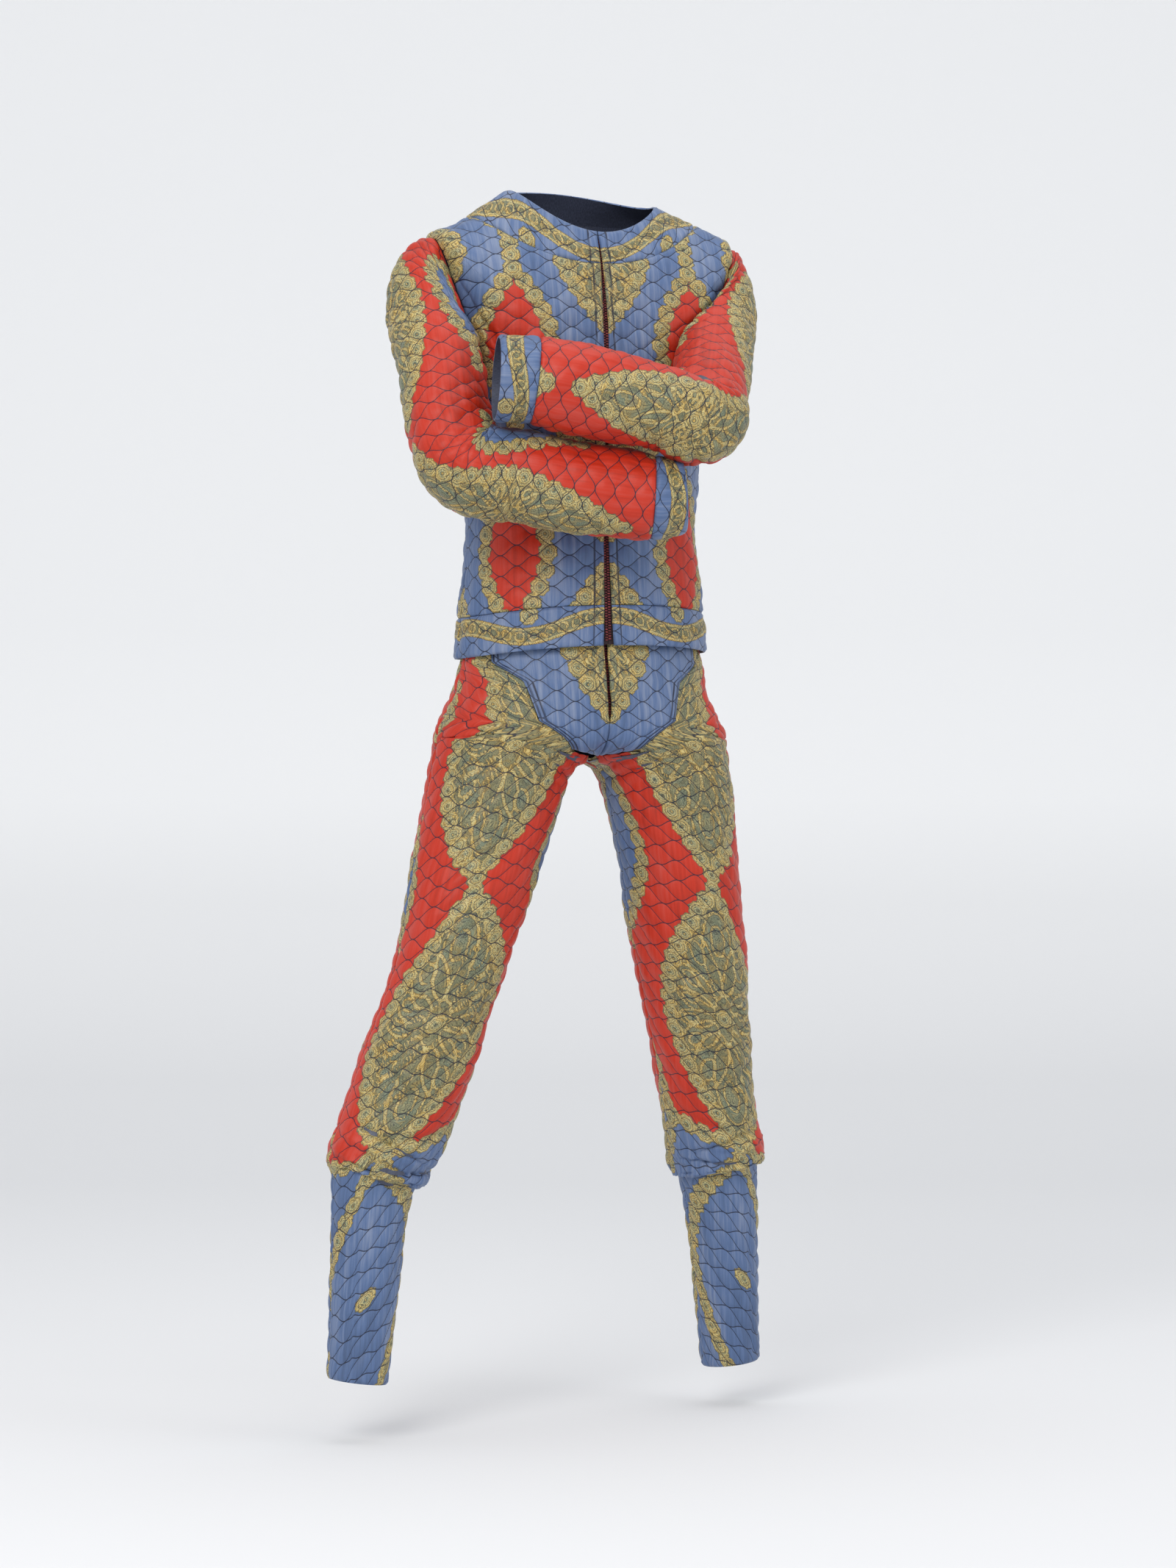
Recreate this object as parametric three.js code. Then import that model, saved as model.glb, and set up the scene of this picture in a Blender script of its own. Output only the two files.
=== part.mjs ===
// Quilted two-piece suit, hollow and in its worn pose: a collarless zip jacket whose sleeves cross
// in front of the chest, over slim trousers with the legs set apart.
// Millimetres, +Z up, the wearer faces -Y and the wearer's left is +X.
// The origin is the middle of the shoulder line, where the jacket hangs on its wearer.
import * as THREE from "three";

// ---------------------------------------------------------------- driving sizes
const WALL = 2.2; // cloth thickness along the stitching
const PUFF = 2.2; // how far the wadding stands up between the stitching
const SEAM_GAP = 0.6; // clear space between two pieces at a seam
const SEAM_GAP_ROWS = 0.013; // the same at a band's seam, in rows of its table
const CELL_STEP = 18.5; // half a quilting diamond, raised points alternate at this step
const INNER_STRIDE = 2; // the plain inside uses every second row and column
const EDGE_CLEAR = SEAM_GAP / 2;
const SLEEVE_CLEAR = 2 * PUFF + 1; // between the jacket's body and a sleeve that lies on it

const ARM_CLEAR = 6; // more of it where the arm leaves the body

const NECK_ROW = 0; // rows of TORSO, also used as the station numbers of the torso surface
const BAND_ROW = 1;
const SHOULDER_ROW = 3;
const UNDERARM_ROW = 5.4;
const HEM_SEAM_ROW = 8;
const HEM_ROW = 9;
const JACKET_GAP_TOP = 2.4; // the fronts part slightly along the zip, most at the hem
const JACKET_GAP_HEM = 9.5;

const ARMHOLE_SEAM_DEG = 1.2; // extra clear space beside a sleeve where the armhole curves most

const CUFF_SEAM_ROW = 10; // rows of each SLEEVE table
const CUFF_ROW = 11;
const CAP_ROWS = 2.2; // the sleeve head eases from the armhole into the round sleeve over this many rows
const CAP_FRONT_ROWS = 0.8; // and over this many more at the front
const CAP_PUFF = { left: 10, right: 15 }; // how far each gathered sleeve head stands out over the shoulder

const FORK_ROW = 8; // rows of each LEG table
const ANKLE_ROW = 18;
const FORK_SHIFT = 5; // the fork hangs this far to the wearer's left of the middle
const FLY_BOTTOM = -572;
const FLY_GAP = 4.4;

const TAPE_WIDE = 13;
const TAPE_THICK = 1.2;

// ---------------------------------------------------------------- tables
// Torso rings from the neck edge to the hem. half: half-width; front, back: depth each way;
// zSide, zFront, zBack: height of the ring; square: 2 is an ellipse, more is boxier; tilt: z per mm of x.
const TORSO = [
  { half: 87, front: 64, back: 66, zSide: 33, zFront: -12, zBack: 46, square: 2.0, tilt: -0.07 },
  { half: 134, front: 80, back: 88, zSide: 6, zFront: -50, zBack: 14, square: 2.15, tilt: 0 },
  { half: 156, front: 90, back: 100, zSide: -5, zFront: -92, zBack: -30, square: 2.3, tilt: 0.01 },
  { half: 177, front: 96, back: 107, zSide: -20, zFront: -128, zBack: -78, square: 2.4, tilt: 0 },
  { half: 160, front: 99, back: 111, zSide: -96, zFront: -168, zBack: -130, square: 2.35, tilt: 0 },
  { half: 145, front: 100, back: 109, zSide: -166, zFront: -205, zBack: -190, square: 2.3, tilt: 0 },
  { half: 140, front: 99, back: 103, zSide: -235, zFront: -262, zBack: -250, square: 2.25, tilt: 0 },
  { half: 133, front: 96, back: 90, zSide: -345, zFront: -345, zBack: -345, square: 2.2, tilt: 0.01 },
  { half: 142, front: 103, back: 102, zSide: -446, zFront: -437, zBack: -446, square: 2.2, tilt: 0.025 },
  { half: 146, front: 106, back: 106, zSide: -492, zFront: -483, zBack: -492, square: 2.2, tilt: 0.03 },
];

// How far round the torso each armhole is cut, in degrees from the side, at even steps from the shoulder tip to under the arm.
const ARMHOLE_RIGHT = [
  { front: 0, back: 0 },
  { front: 11, back: 9 },
  { front: 17, back: 14.5 },
  { front: 20, back: 16.5 },
  { front: 21, back: 15 },
  { front: 14, back: 7 },
  { front: 0, back: 0 },
];
const ARMHOLE_LEFT = [
  { front: 0, back: 0 },
  { front: 18, back: 9 },
  { front: 33, back: 14.5 },
  { front: 43, back: 16.5 },
  { front: 46, back: 15 },
  { front: 34, back: 7 },
  { front: 0, back: 0 },
];

// Sleeve rings from the armhole to the cuff edge: centre, half size across the bend (rise) and along the bend's axis (deep).
const SLEEVE_RIGHT = [
  { x: -168, y: 2, z: -96, rise: 60, deep: 54 },
  { x: -178, y: -8, z: -92, rise: 52, deep: 52 },
  { x: -186, y: -26, z: -104, rise: 45, deep: 50 },
  { x: -188, y: -56, z: -148, rise: 44, deep: 48 },
  { x: -188, y: -88, z: -198, rise: 45, deep: 47 },
  { x: -188, y: -118, z: -250, rise: 49, deep: 48 },
  { x: -174, y: -138, z: -289, rise: 59, deep: 50 },
  { x: -124, y: -151, z: -298, rise: 54, deep: 51 },
  { x: -76, y: -166, z: -308, rise: 52, deep: 50 },
  { x: -28, y: -179, z: -315, rise: 50, deep: 49 },
  { x: 22, y: -193, z: -322, rise: 48, deep: 46 },
  { x: 56, y: -201, z: -320, rise: 41, deep: 40 },
];
const SLEEVE_LEFT = [
  { x: 168, y: 2, z: -98, rise: 60, deep: 54 },
  { x: 165, y: -14, z: -86, rise: 47, deep: 48 },
  { x: 156, y: -38, z: -100, rise: 39, deep: 44 },
  { x: 136, y: -84, z: -139, rise: 37, deep: 43 },
  { x: 113, y: -134, z: -176, rise: 38, deep: 44 },
  { x: 90, y: -184, z: -210, rise: 40, deep: 44 },
  { x: 70, y: -218, z: -238, rise: 48, deep: 47 },
  { x: 20, y: -222, z: -224, rise: 45, deep: 45 },
  { x: -30, y: -210, z: -214, rise: 50, deep: 48 },
  { x: -76, y: -200, z: -203, rise: 51, deep: 48 },
  { x: -114, y: -192, z: -196, rise: 48, deep: 46 },
  { x: -156, y: -184, z: -194, rise: 48, deep: 45 },
];

// Trouser rings from the waist to the ankle hem. x is measured out from the middle, so above the fork a ring is cut
// short at x = 0. across: half-width; front, back: depth each way; lean: degrees that the outer end is raised.
const LEG_TOP = [
  { x: 0, y: 0, z: -424, across: 128, front: 84, back: 86, lean: 0 },
  { x: 0, y: 0, z: -462, across: 134, front: 90, back: 94, lean: 0 },
  { x: 0, y: 0, z: -496, across: 140, front: 96, back: 101, lean: 0 },
  { x: 0, y: 0, z: -520, across: 146, front: 100, back: 106, lean: 0 },
];
const LEG_RIGHT = [
  ...LEG_TOP,
  { x: 3, y: 0, z: -544, across: 150, front: 101, back: 107, lean: 1 },
  { x: 21, y: 0, z: -566, across: 143, front: 98, back: 105, lean: 3 },
  { x: 52, y: 0, z: -583, across: 121, front: 94, back: 101, lean: 6 },
  { x: 76, y: 0, z: -591, across: 101, front: 90.5, back: 97.5, lean: 9 },
  { x: 88, y: 0, z: -594, across: 90, front: 88, back: 95, lean: 11.5 },
  { x: 96, y: 0, z: -608, across: 80.5, front: 85, back: 92, lean: 12 },
  { x: 104, y: -1, z: -632, across: 77.5, front: 81, back: 87, lean: 13 },
  { x: 124, y: -5, z: -700, across: 73, front: 75, back: 77, lean: 15 },
  { x: 151, y: -14, z: -790, across: 66, front: 70, back: 70, lean: 16 },
  { x: 172, y: -21, z: -860, across: 60, front: 66, back: 65, lean: 18 },
  { x: 206, y: -28, z: -950, across: 62, front: 64, back: 66, lean: 20 },
  { x: 240, y: -35, z: -1032, across: 60, front: 60, back: 62, lean: 20 },
  { x: 258, y: -40, z: -1073, across: 57, front: 56, back: 57, lean: 17 },
  { x: 266, y: -44, z: -1106, across: 43, front: 44, back: 46, lean: 12 },
  { x: 286, y: -62, z: -1304, across: 33, front: 35, back: 37, lean: 7 },
];
const LEG_LEFT = [
  ...LEG_TOP,
  { x: 0, y: 0, z: -544, across: 148, front: 101, back: 107, lean: 1 },
  { x: 14, y: 0, z: -566, across: 141, front: 98, back: 105, lean: 3 },
  { x: 44, y: 0, z: -583, across: 120, front: 94, back: 101, lean: 6 },
  { x: 70, y: 0, z: -591, across: 98, front: 90.5, back: 97.5, lean: 9 },
  { x: 83, y: 0, z: -594, across: 84.8, front: 88, back: 95, lean: 11.5 },
  { x: 92, y: 0, z: -608, across: 75.5, front: 85, back: 92, lean: 12 },
  { x: 99, y: 1, z: -632, across: 73, front: 81, back: 87, lean: 11 },
  { x: 113, y: 8, z: -700, across: 69, front: 74, back: 75, lean: 9 },
  { x: 127, y: 16, z: -790, across: 66, front: 70, back: 70, lean: 8 },
  { x: 139, y: 23, z: -860, across: 63, front: 66, back: 66, lean: 8 },
  { x: 155, y: 36, z: -950, across: 56, front: 61, back: 62, lean: 8 },
  { x: 172, y: 50, z: -1040, across: 54, front: 57, back: 58, lean: 8 },
  { x: 182, y: 57, z: -1084, across: 55, front: 56, back: 57, lean: 8 },
  { x: 188, y: 63, z: -1114, across: 43, front: 44, back: 46, lean: 8 },
  { x: 211, y: 91, z: -1322, across: 33, front: 35, back: 37, lean: 7 },
];

// Half-width of the shaped front yoke of the trousers, from the waist to the fork.
const YOKE_EDGE = [
  { z: -424, half: 116 },
  { z: -502, half: 121 },
  { z: -524, half: 92 },
  { z: -572, half: 81 },
  { z: -606, half: 14 },
];

// Largest folds. at: station along the piece; turn: degrees round it; long: half-length in stations;
// wide: half-width in degrees; depth in mm, a trough where it is negative; skew: stations per degree.
const FOLDS_SLEEVE = [
  { at: 5.6, turn: 180, long: 0.34, wide: 78, depth: -7, skew: 0 },
  { at: 4.9, turn: 165, long: 0.3, wide: 60, depth: 4, skew: 0.004 },
  { at: 6.4, turn: 190, long: 0.3, wide: 60, depth: 4, skew: -0.004 },
  { at: 4.1, turn: 150, long: 0.3, wide: 55, depth: -3.5, skew: 0.006 },
];
const FOLDS_LEG_RIGHT = [
  { at: 13.2, turn: 120, long: 0.22, wide: 70, depth: -4, skew: 0.003 },
  { at: 13.8, turn: 60, long: 0.25, wide: 60, depth: 4, skew: 0.003 },
  { at: 15.7, turn: 110, long: 0.22, wide: 80, depth: -4.5, skew: -0.003 },
  { at: 16.25, turn: 80, long: 0.2, wide: 90, depth: 4, skew: -0.002 },
  { at: 16.6, turn: 200, long: 0.2, wide: 80, depth: -5, skew: 0.002 },
];
const FOLDS_LEG_LEFT = [
  { at: 13.4, turn: 250, long: 0.25, wide: 70, depth: -4, skew: 0.002 },
  { at: 15.8, turn: 150, long: 0.22, wide: 70, depth: -4.5, skew: 0.003 },
  { at: 16.3, turn: 140, long: 0.2, wide: 80, depth: 4, skew: 0.002 },
  { at: 16.6, turn: 20, long: 0.2, wide: 80, depth: -4, skew: 0.002 },
];

// ---------------------------------------------------------------- small maths
const rad = (deg) => (deg * Math.PI) / 180;
const clamp = (v, low, high) => Math.min(high, Math.max(low, v));
const lerp = (a, b, t) => a + (b - a) * t;
const ease = (t) => t * t * (3 - 2 * t);

// A table's row at any station between its rows, by a curve that passes through every row.
function rowAt(table, station) {
  const i = clamp(Math.floor(station), 0, table.length - 2);
  const t = clamp(station - i, 0, 1);
  const [p0, p1, p2, p3] = [i - 1, i, i + 1, i + 2].map((k) => table[clamp(k, 0, table.length - 1)]);
  const row = {};
  for (const key of Object.keys(table[0])) {
    const m1 = (p2[key] - p0[key]) / 2;
    const m2 = (p3[key] - p1[key]) / 2;
    const [t2, t3] = [t * t, t * t * t];
    row[key] =
      p1[key] * (2 * t3 - 3 * t2 + 1) + m1 * (t3 - 2 * t2 + t) + p2[key] * (3 * t2 - 2 * t3) + m2 * (t3 - t2);
  }
  return row;
}

function foldHeight(folds, station, deg) {
  let height = 0;
  for (const fold of folds) {
    const round = ((((deg - fold.turn) % 360) + 540) % 360) - 180;
    const along = (station - fold.at - round * fold.skew) / fold.long;
    const side = round / fold.wide;
    if (Math.abs(side) < 1) height += fold.depth * Math.exp(-along * along) * (1 - side * side) ** 2;
  }
  return height;
}

// ---------------------------------------------------------------- surfaces
// Each surface is { at(station, degrees) -> point, middle(station) -> point inside the ring, plain: a station where it is a plain tube }.

// Degrees run from the wearer's left side (0) over the front (90), the right side (180) and the back (270).
const torso = {
  plain: 7,
  at(station, deg) {
    const row = rowAt(TORSO, station);
    const [c, s] = [Math.cos(rad(deg)), Math.sin(rad(deg))];
    const power = 2 / row.square;
    const x = row.half * Math.sign(c) * Math.abs(c) ** power;
    const depth = s > 0 ? row.front : row.back;
    const y = -depth * Math.sign(s) * Math.abs(s) ** power;
    const zEnd = s > 0 ? row.zFront : row.zBack;
    return new THREE.Vector3(x, y, lerp(row.zSide, zEnd, s * s) + row.tilt * x);
  },
  middle(station) {
    return new THREE.Vector3(0, 0, rowAt(TORSO, station).zSide - 30);
  },
};

// The cut of an armhole at a share of the way down it, once no less than nothing.
function armholeCut(side, down) {
  const table = side > 0 ? ARMHOLE_LEFT : ARMHOLE_RIGHT;
  return rowAt(table, down * (table.length - 1));
}

// The armhole's edge on the torso, once round: 0 at the shoulder tip, 90 at the front, 180 under the arm.
function armholeEdge(side, deg) {
  const turn = ((deg % 360) + 360) % 360;
  const down = turn <= 180 ? turn / 180 : (360 - turn) / 180;
  const station = lerp(SHOULDER_ROW, UNDERARM_ROW, (1 - Math.cos(Math.PI * down)) / 2);
  const cut = turn <= 180 ? armholeCut(side, down).front : -armholeCut(side, down).back;
  return torso.at(station, side > 0 ? cut : 180 - cut);
}

// Moves a point that is inside the jacket's body, or nearly so, straight out of it, as an arm's sleeve flattens against it.
function clearOfTorso(point, clear) {
  let [low, high] = [SHOULDER_ROW, HEM_ROW];
  let skin;
  for (let i = 0; i < 14; i++) {
    const station = (low + high) / 2;
    const row = rowAt(TORSO, station);
    const depth = point.y < 0 ? row.front : row.back;
    const power = row.square / 2;
    const c = Math.sign(point.x) * Math.abs(point.x / row.half) ** power;
    const s = -Math.sign(point.y) * Math.abs(point.y / depth) ** power;
    skin = torso.at(station, (Math.atan2(s, c) * 180) / Math.PI);
    if (skin.z > point.z) low = station;
    else high = station;
  }
  const here = Math.hypot(point.x, point.y);
  const least = Math.hypot(skin.x, skin.y) + clear;
  if (here < least && point.z < skin.z + 1) {
    point.x *= least / here;
    point.y *= least / here;
  }
  return point;
}

// A tube swept through a sleeve's rings. Degrees: 0 on the outside of the bend, 90 towards the front at the armhole.
function sleeveSurface(side, table) {
  const STEPS = 10;
  const centre = (station) => {
    const { x, y, z } = rowAt(table, station);
    return new THREE.Vector3(x, y, z);
  };
  const last = table.length - 1;
  const frames = [];
  let out = new THREE.Vector3(0, 0, 1);
  for (let i = 0; i <= last * STEPS; i++) {
    const station = i / STEPS;
    const tangent = centre(Math.min(last, station + 0.05)).sub(centre(Math.max(0, station - 0.05))).normalize();
    if (i === 0) tangent.set(side, -0.08, -0.45).normalize();
    out = out.clone().addScaledVector(tangent, -out.dot(tangent)).normalize();
    const front = side < 0 ? out.clone().cross(tangent) : tangent.clone().cross(out);
    frames.push({ out, front });
  }
  const frameAt = (station) => {
    const k = clamp(station * STEPS, 0, frames.length - 1.001);
    const [a, b] = [frames[Math.floor(k)], frames[Math.floor(k) + 1]];
    const t = k - Math.floor(k);
    return {
      out: a.out.clone().lerp(b.out, t).normalize(),
      front: a.front.clone().lerp(b.front, t).normalize(),
    };
  };
  const ring = (station, deg) => {
    const row = rowAt(table, station);
    const frame = frameAt(station);
    const bulge = foldHeight(FOLDS_SLEEVE, station, deg);
    return centre(station)
      .addScaledVector(frame.out, (row.rise + bulge) * Math.cos(rad(deg)))
      .addScaledVector(frame.front, (row.deep + bulge) * Math.sin(rad(deg)));
  };
  return {
    plain: 8,
    at(station, deg) {
      const front = Math.max(0, Math.sin(rad(deg))); // here the cloth runs straight from the armhole to where the arm leaves the body
      const rows = CAP_ROWS + CAP_FRONT_ROWS * front;
      const share = clamp(station / rows, 0, 1);
      const clear = SLEEVE_CLEAR * clamp(station / 0.3, 0, 1) + ARM_CLEAR * ease(clamp(station / rows, 0, 1));
      if (share === 1) return clearOfTorso(ring(station, deg), clear);
      const edge = armholeEdge(side, deg);
      edge.x += side * SEAM_GAP * (1 + 3 * Math.max(0, -Math.cos(rad(deg)))); // widest under the arm, where the seam turns
      const target = clearOfTorso(ring(lerp(station, rows, front), deg), SLEEVE_CLEAR + ARM_CLEAR);
      const point = edge.lerp(target, lerp(ease(share), share, front));
      const puff = CAP_PUFF[side > 0 ? "left" : "right"] * Math.sin(Math.PI * share) * Math.max(0, Math.cos(rad(deg))) ** 1.5;
      point.x += side * puff * 0.85;
      point.z += puff * 0.2;
      return clearOfTorso(point, clear);
    },
    middle: centre,
  };
}

// The x of the trousers' middle line at a height.
const middleX = (z) => FORK_SHIFT * ease(clamp((-490 - z) / 110, 0, 1));

// Half of the trousers. Degrees: 0 at the outer seam, 90 at the front, 180 at the inside leg, 270 at the back.
function legSurface(side, table, folds) {
  return {
    plain: 12,
    at(station, deg) {
      const row = rowAt(table, station);
      const bulge = foldHeight(folds, station, deg);
      const [c, s] = [Math.cos(rad(deg)), Math.sin(rad(deg))];
      const along = (row.across + bulge) * c;
      const x = row.x + along * Math.cos(rad(row.lean));
      const y = row.y - ((s > 0 ? row.front : row.back) + bulge) * s;
      const z = row.z + along * Math.sin(rad(row.lean));
      return new THREE.Vector3(side * (x + EDGE_CLEAR) + middleX(z), y, z);
    },
    middle(station) {
      const row = rowAt(table, station);
      return new THREE.Vector3(side * Math.max(row.x, 30) + middleX(row.z), row.y, row.z);
    },
    // Where the ring meets x = 0, as an angle from the outer seam; 180 below the fork.
    inner(station) {
      const row = rowAt(table, station);
      if (station >= FORK_ROW) return 180;
      const share = clamp(row.x / (row.across * Math.cos(rad(row.lean))), 0, 1);
      return 180 - (Math.acos(share) * 180) / Math.PI;
    },
    // The angle at which the ring is a given distance out from the middle.
    angleAtX(station, x) {
      const row = rowAt(table, station);
      return (Math.acos(clamp((x - row.x) / (row.across * Math.cos(rad(row.lean))), -1, 1)) * 180) / Math.PI;
    },
  };
}

function yokeHalf(z) {
  for (let i = 1; i < YOKE_EDGE.length; i++) {
    const [a, b] = [YOKE_EDGE[i - 1], YOKE_EDGE[i]];
    if (z >= b.z) return lerp(a.half, b.half, clamp((a.z - z) / (a.z - b.z), 0, 1));
  }
  return YOKE_EDGE.at(-1).half;
}

// ---------------------------------------------------------------- panels
// Stations between two rows, a step apart along the line at the given angle, the number of gaps a multiple of the stride.
function evenStations(surface, from, to, deg, step = CELL_STEP) {
  const FINE = 200;
  const lengths = [0];
  let before = surface.at(from, deg);
  for (let i = 1; i <= FINE; i++) {
    const here = surface.at(lerp(from, to, i / FINE), deg);
    lengths.push(lengths.at(-1) + here.distanceTo(before));
    before = here;
  }
  const gaps = Math.max(1, Math.round(lengths.at(-1) / step / INNER_STRIDE)) * INNER_STRIDE;
  const stations = [];
  for (let k = 0, i = 0; k <= gaps; k++) {
    const want = (lengths.at(-1) * k) / gaps;
    while (i < FINE - 1 && lengths[i + 1] < want) i++;
    const t = (want - lengths[i]) / (lengths[i + 1] - lengths[i]);
    stations.push(lerp(from, to, (i + clamp(t, 0, 1)) / FINE));
  }
  return stations;
}

// Angles across one row, evenly spaced by length on the cloth.
function evenAngles(surface, station, from, to, gaps) {
  const FINE = 72;
  const lengths = [0];
  let before = surface.at(station, from);
  for (let i = 1; i <= FINE; i++) {
    const here = surface.at(station, lerp(from, to, i / FINE));
    lengths.push(lengths.at(-1) + here.distanceTo(before));
    before = here;
  }
  const angles = [];
  for (let k = 0, i = 0; k <= gaps; k++) {
    const want = (lengths.at(-1) * k) / gaps;
    while (i < FINE - 1 && lengths[i + 1] < want) i++;
    const t = (want - lengths[i]) / Math.max(lengths[i + 1] - lengths[i], 1e-9);
    angles.push(lerp(from, to, (i + clamp(t, 0, 1)) / FINE));
  }
  return angles;
}

function crossAt(surface, station, deg) {
  const [ds, dd] = [0.01, 0.6];
  const along = surface.at(station + ds, deg).sub(surface.at(station - ds, deg));
  const round = surface.at(station, deg + dd).sub(surface.at(station, deg - dd));
  return along.cross(round).normalize();
}

// Out of the cloth. Which way that is gets read once for each surface, on its plain middle part.
function normalAt(surface, station, deg) {
  if (!surface.facing) {
    const outward = surface.at(surface.plain, 90).sub(surface.middle(surface.plain));
    surface.facing = Math.sign(crossAt(surface, surface.plain, 90).dot(outward));
  }
  return crossAt(surface, station, deg).multiplyScalar(surface.facing);
}

// A closed wall from a grid of outer points and a coarser grid of inner points. wrap joins the first and last columns.
function wallSolid(name, outer, inner, wrap, material) {
  const [rows, columns] = [outer.length, outer[0].length];
  const [innerRows, innerColumns] = [inner.length, inner[0].length];
  const points = [...outer.flat(), ...inner.flat()];
  const triangles = [];
  const out = (i, j) => i * columns + (wrap ? j % columns : j);
  const inn = (i, j) => rows * columns + i * innerColumns + (wrap ? j % innerColumns : j);
  const quad = (a, b, c, d, acrossAC) => {
    if (acrossAC) triangles.push([a, b, c], [a, c, d]);
    else triangles.push([a, b, d], [b, c, d]);
  };
  const [lastRow, lastColumn] = [rows - 1, wrap ? columns : columns - 1];
  for (let i = 0; i < lastRow; i++)
    for (let j = 0; j < lastColumn; j++)
      quad(out(i, j), out(i + 1, j), out(i + 1, j + 1), out(i, j + 1), (i + j) % 2 === 1);
  const [lastInnerRow, lastInnerColumn] = [innerRows - 1, wrap ? innerColumns : innerColumns - 1];
  for (let i = 0; i < lastInnerRow; i++)
    for (let j = 0; j < lastInnerColumn; j++)
      quad(inn(i, j + 1), inn(i + 1, j + 1), inn(i + 1, j), inn(i, j), true);
  // The rim: each inner edge fans out to the outer points along it.
  const rim = (count, outerAt, innerAt, turned) => {
    const stride = INNER_STRIDE;
    for (let k = 0; k < count; k++) {
      const faces = [];
      for (let m = 0; m < stride; m++) faces.push([innerAt(k), outerAt(k * stride + m), outerAt(k * stride + m + 1)]);
      faces.push([innerAt(k), outerAt((k + 1) * stride), innerAt(k + 1)]);
      for (const [a, b, c] of faces) triangles.push(turned ? [a, c, b] : [a, b, c]);
    }
  };
  rim(lastInnerColumn, (j) => out(0, j), (j) => inn(0, j), false);
  rim(lastInnerColumn, (j) => out(lastRow, j), (j) => inn(lastInnerRow, j), true);
  if (!wrap) {
    rim(lastInnerRow, (i) => out(i, 0), (i) => inn(i, 0), true);
    rim(lastInnerRow, (i) => out(i, lastColumn), (i) => inn(i, lastInnerColumn), false);
  }
  return solidMesh(name, points, triangles, material);
}

// Turns the faces outwards, whichever way the grid ran.
function solidMesh(name, points, triangles, material) {
  let volume = 0;
  for (const [a, b, c] of triangles) volume += points[a].dot(points[b].clone().cross(points[c]));
  const faces = volume < 0 ? triangles.map(([a, b, c]) => [a, c, b]) : triangles;
  const geometry = new THREE.BufferGeometry();
  geometry.setAttribute("position", new THREE.Float32BufferAttribute(points.flatMap((p) => p.toArray()), 3));
  geometry.setIndex(faces.flat());
  geometry.computeVertexNormals();
  const mesh = new THREE.Mesh(geometry, material);
  mesh.name = name;
  return mesh;
}

// A quilted piece of cloth on a surface. span(station) gives its first and last angle on that row.
function quiltedPiece(name, surface, stations, span, gaps, material, { wrap = false, evenDegrees = false, trim = null } = {}) {
  const bases = [];
  const normals = [];
  stations.forEach((station, i) => {
    const [from, to] = span(station);
    const angles = evenDegrees
      ? Array.from({ length: gaps + 1 }, (_, j) => lerp(from, to, j / gaps))
      : evenAngles(surface, station, from, to, gaps);
    if (wrap) angles.pop();
    bases.push(
      angles.map((deg, j) => {
        const base = surface.at(station, deg);
        if (trim) trim(base, j, gaps);
        return base;
      }),
    );
    normals.push(angles.map((deg) => normalAt(surface, station, deg)));
  });
  const lastRow = stations.length - 1;
  const puffAt = (i, j) => {
    if ((i + j) % 2 || i === 0 || i === lastRow || (!wrap && (j === 0 || j === gaps))) return 0;
    const cell = bases[i + 1][j].distanceTo(bases[i - 1][j]) / 2;
    return PUFF * clamp(cell / CELL_STEP, 0.1, 1); // less where the rows crowd together
  };
  const outer = bases.map((row, i) => row.map((p, j) => p.clone().addScaledVector(normals[i][j], puffAt(i, j))));
  const every = (_, k) => k % INNER_STRIDE === 0;
  const inner = bases
    .map((row, i) => row.map((p, j) => p.clone().addScaledVector(normals[i][j], -WALL)).filter(every))
    .filter(every);
  return wallSolid(name, outer, inner, wrap, material);
}

// Degrees that take up a length on a ring of about this radius.
const degreesFor = (length, radius) => (length / radius) * (180 / Math.PI);

// ---------------------------------------------------------------- cloth
const cloth = (hex) => new THREE.MeshStandardMaterial({ color: hex, roughness: 0.55, metalness: 0 });
const BLUE_CLOTH = cloth(0x6f80ad);
const RED_CLOTH = cloth(0xc23a34);
const OLIVE_CLOTH = cloth(0x9a9568);
const ZIP_TAPE = cloth(0x2a1a20);

// ---------------------------------------------------------------- jacket
const jacketGapHalf = (station) =>
  lerp(JACKET_GAP_TOP, JACKET_GAP_HEM, clamp((station - UNDERARM_ROW) / (HEM_ROW - UNDERARM_ROW), 0, 1) ** 1.5) / 2;

// The angle of a front's free edge beside the zip.
const frontEdge = (station) => 90 - degreesFor(jacketGapHalf(station), 150);

// The angle at which the cloth starts beside the armhole, or at the shoulder or side seam.
function besideArm(station, side, face) {
  const seam = degreesFor(EDGE_CLEAR, 110);
  if (station <= SHOULDER_ROW || station >= UNDERARM_ROW) return seam;
  const down = Math.acos(1 - (2 * (station - SHOULDER_ROW)) / (UNDERARM_ROW - SHOULDER_ROW)) / Math.PI;
  return armholeCut(side, down)[face] + ARMHOLE_SEAM_DEG * Math.sqrt(Math.max(0, Math.sin(Math.PI * down))) + seam;
}

// Stations of a body piece, closer together at the two ends of the armhole, where its edge turns.
function bodyStations() {
  const shoulder = evenStations(torso, BAND_ROW + SEAM_GAP_ROWS, SHOULDER_ROW, 60);
  const ARM_GAPS = 8;
  const arm = [];
  for (let k = 1; k < ARM_GAPS; k++)
    arm.push(lerp(SHOULDER_ROW, UNDERARM_ROW, (1 - Math.cos((Math.PI * k) / ARM_GAPS)) / 2));
  return [...shoulder, ...arm, ...evenStations(torso, UNDERARM_ROW, HEM_SEAM_ROW, 60)];
}

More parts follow.
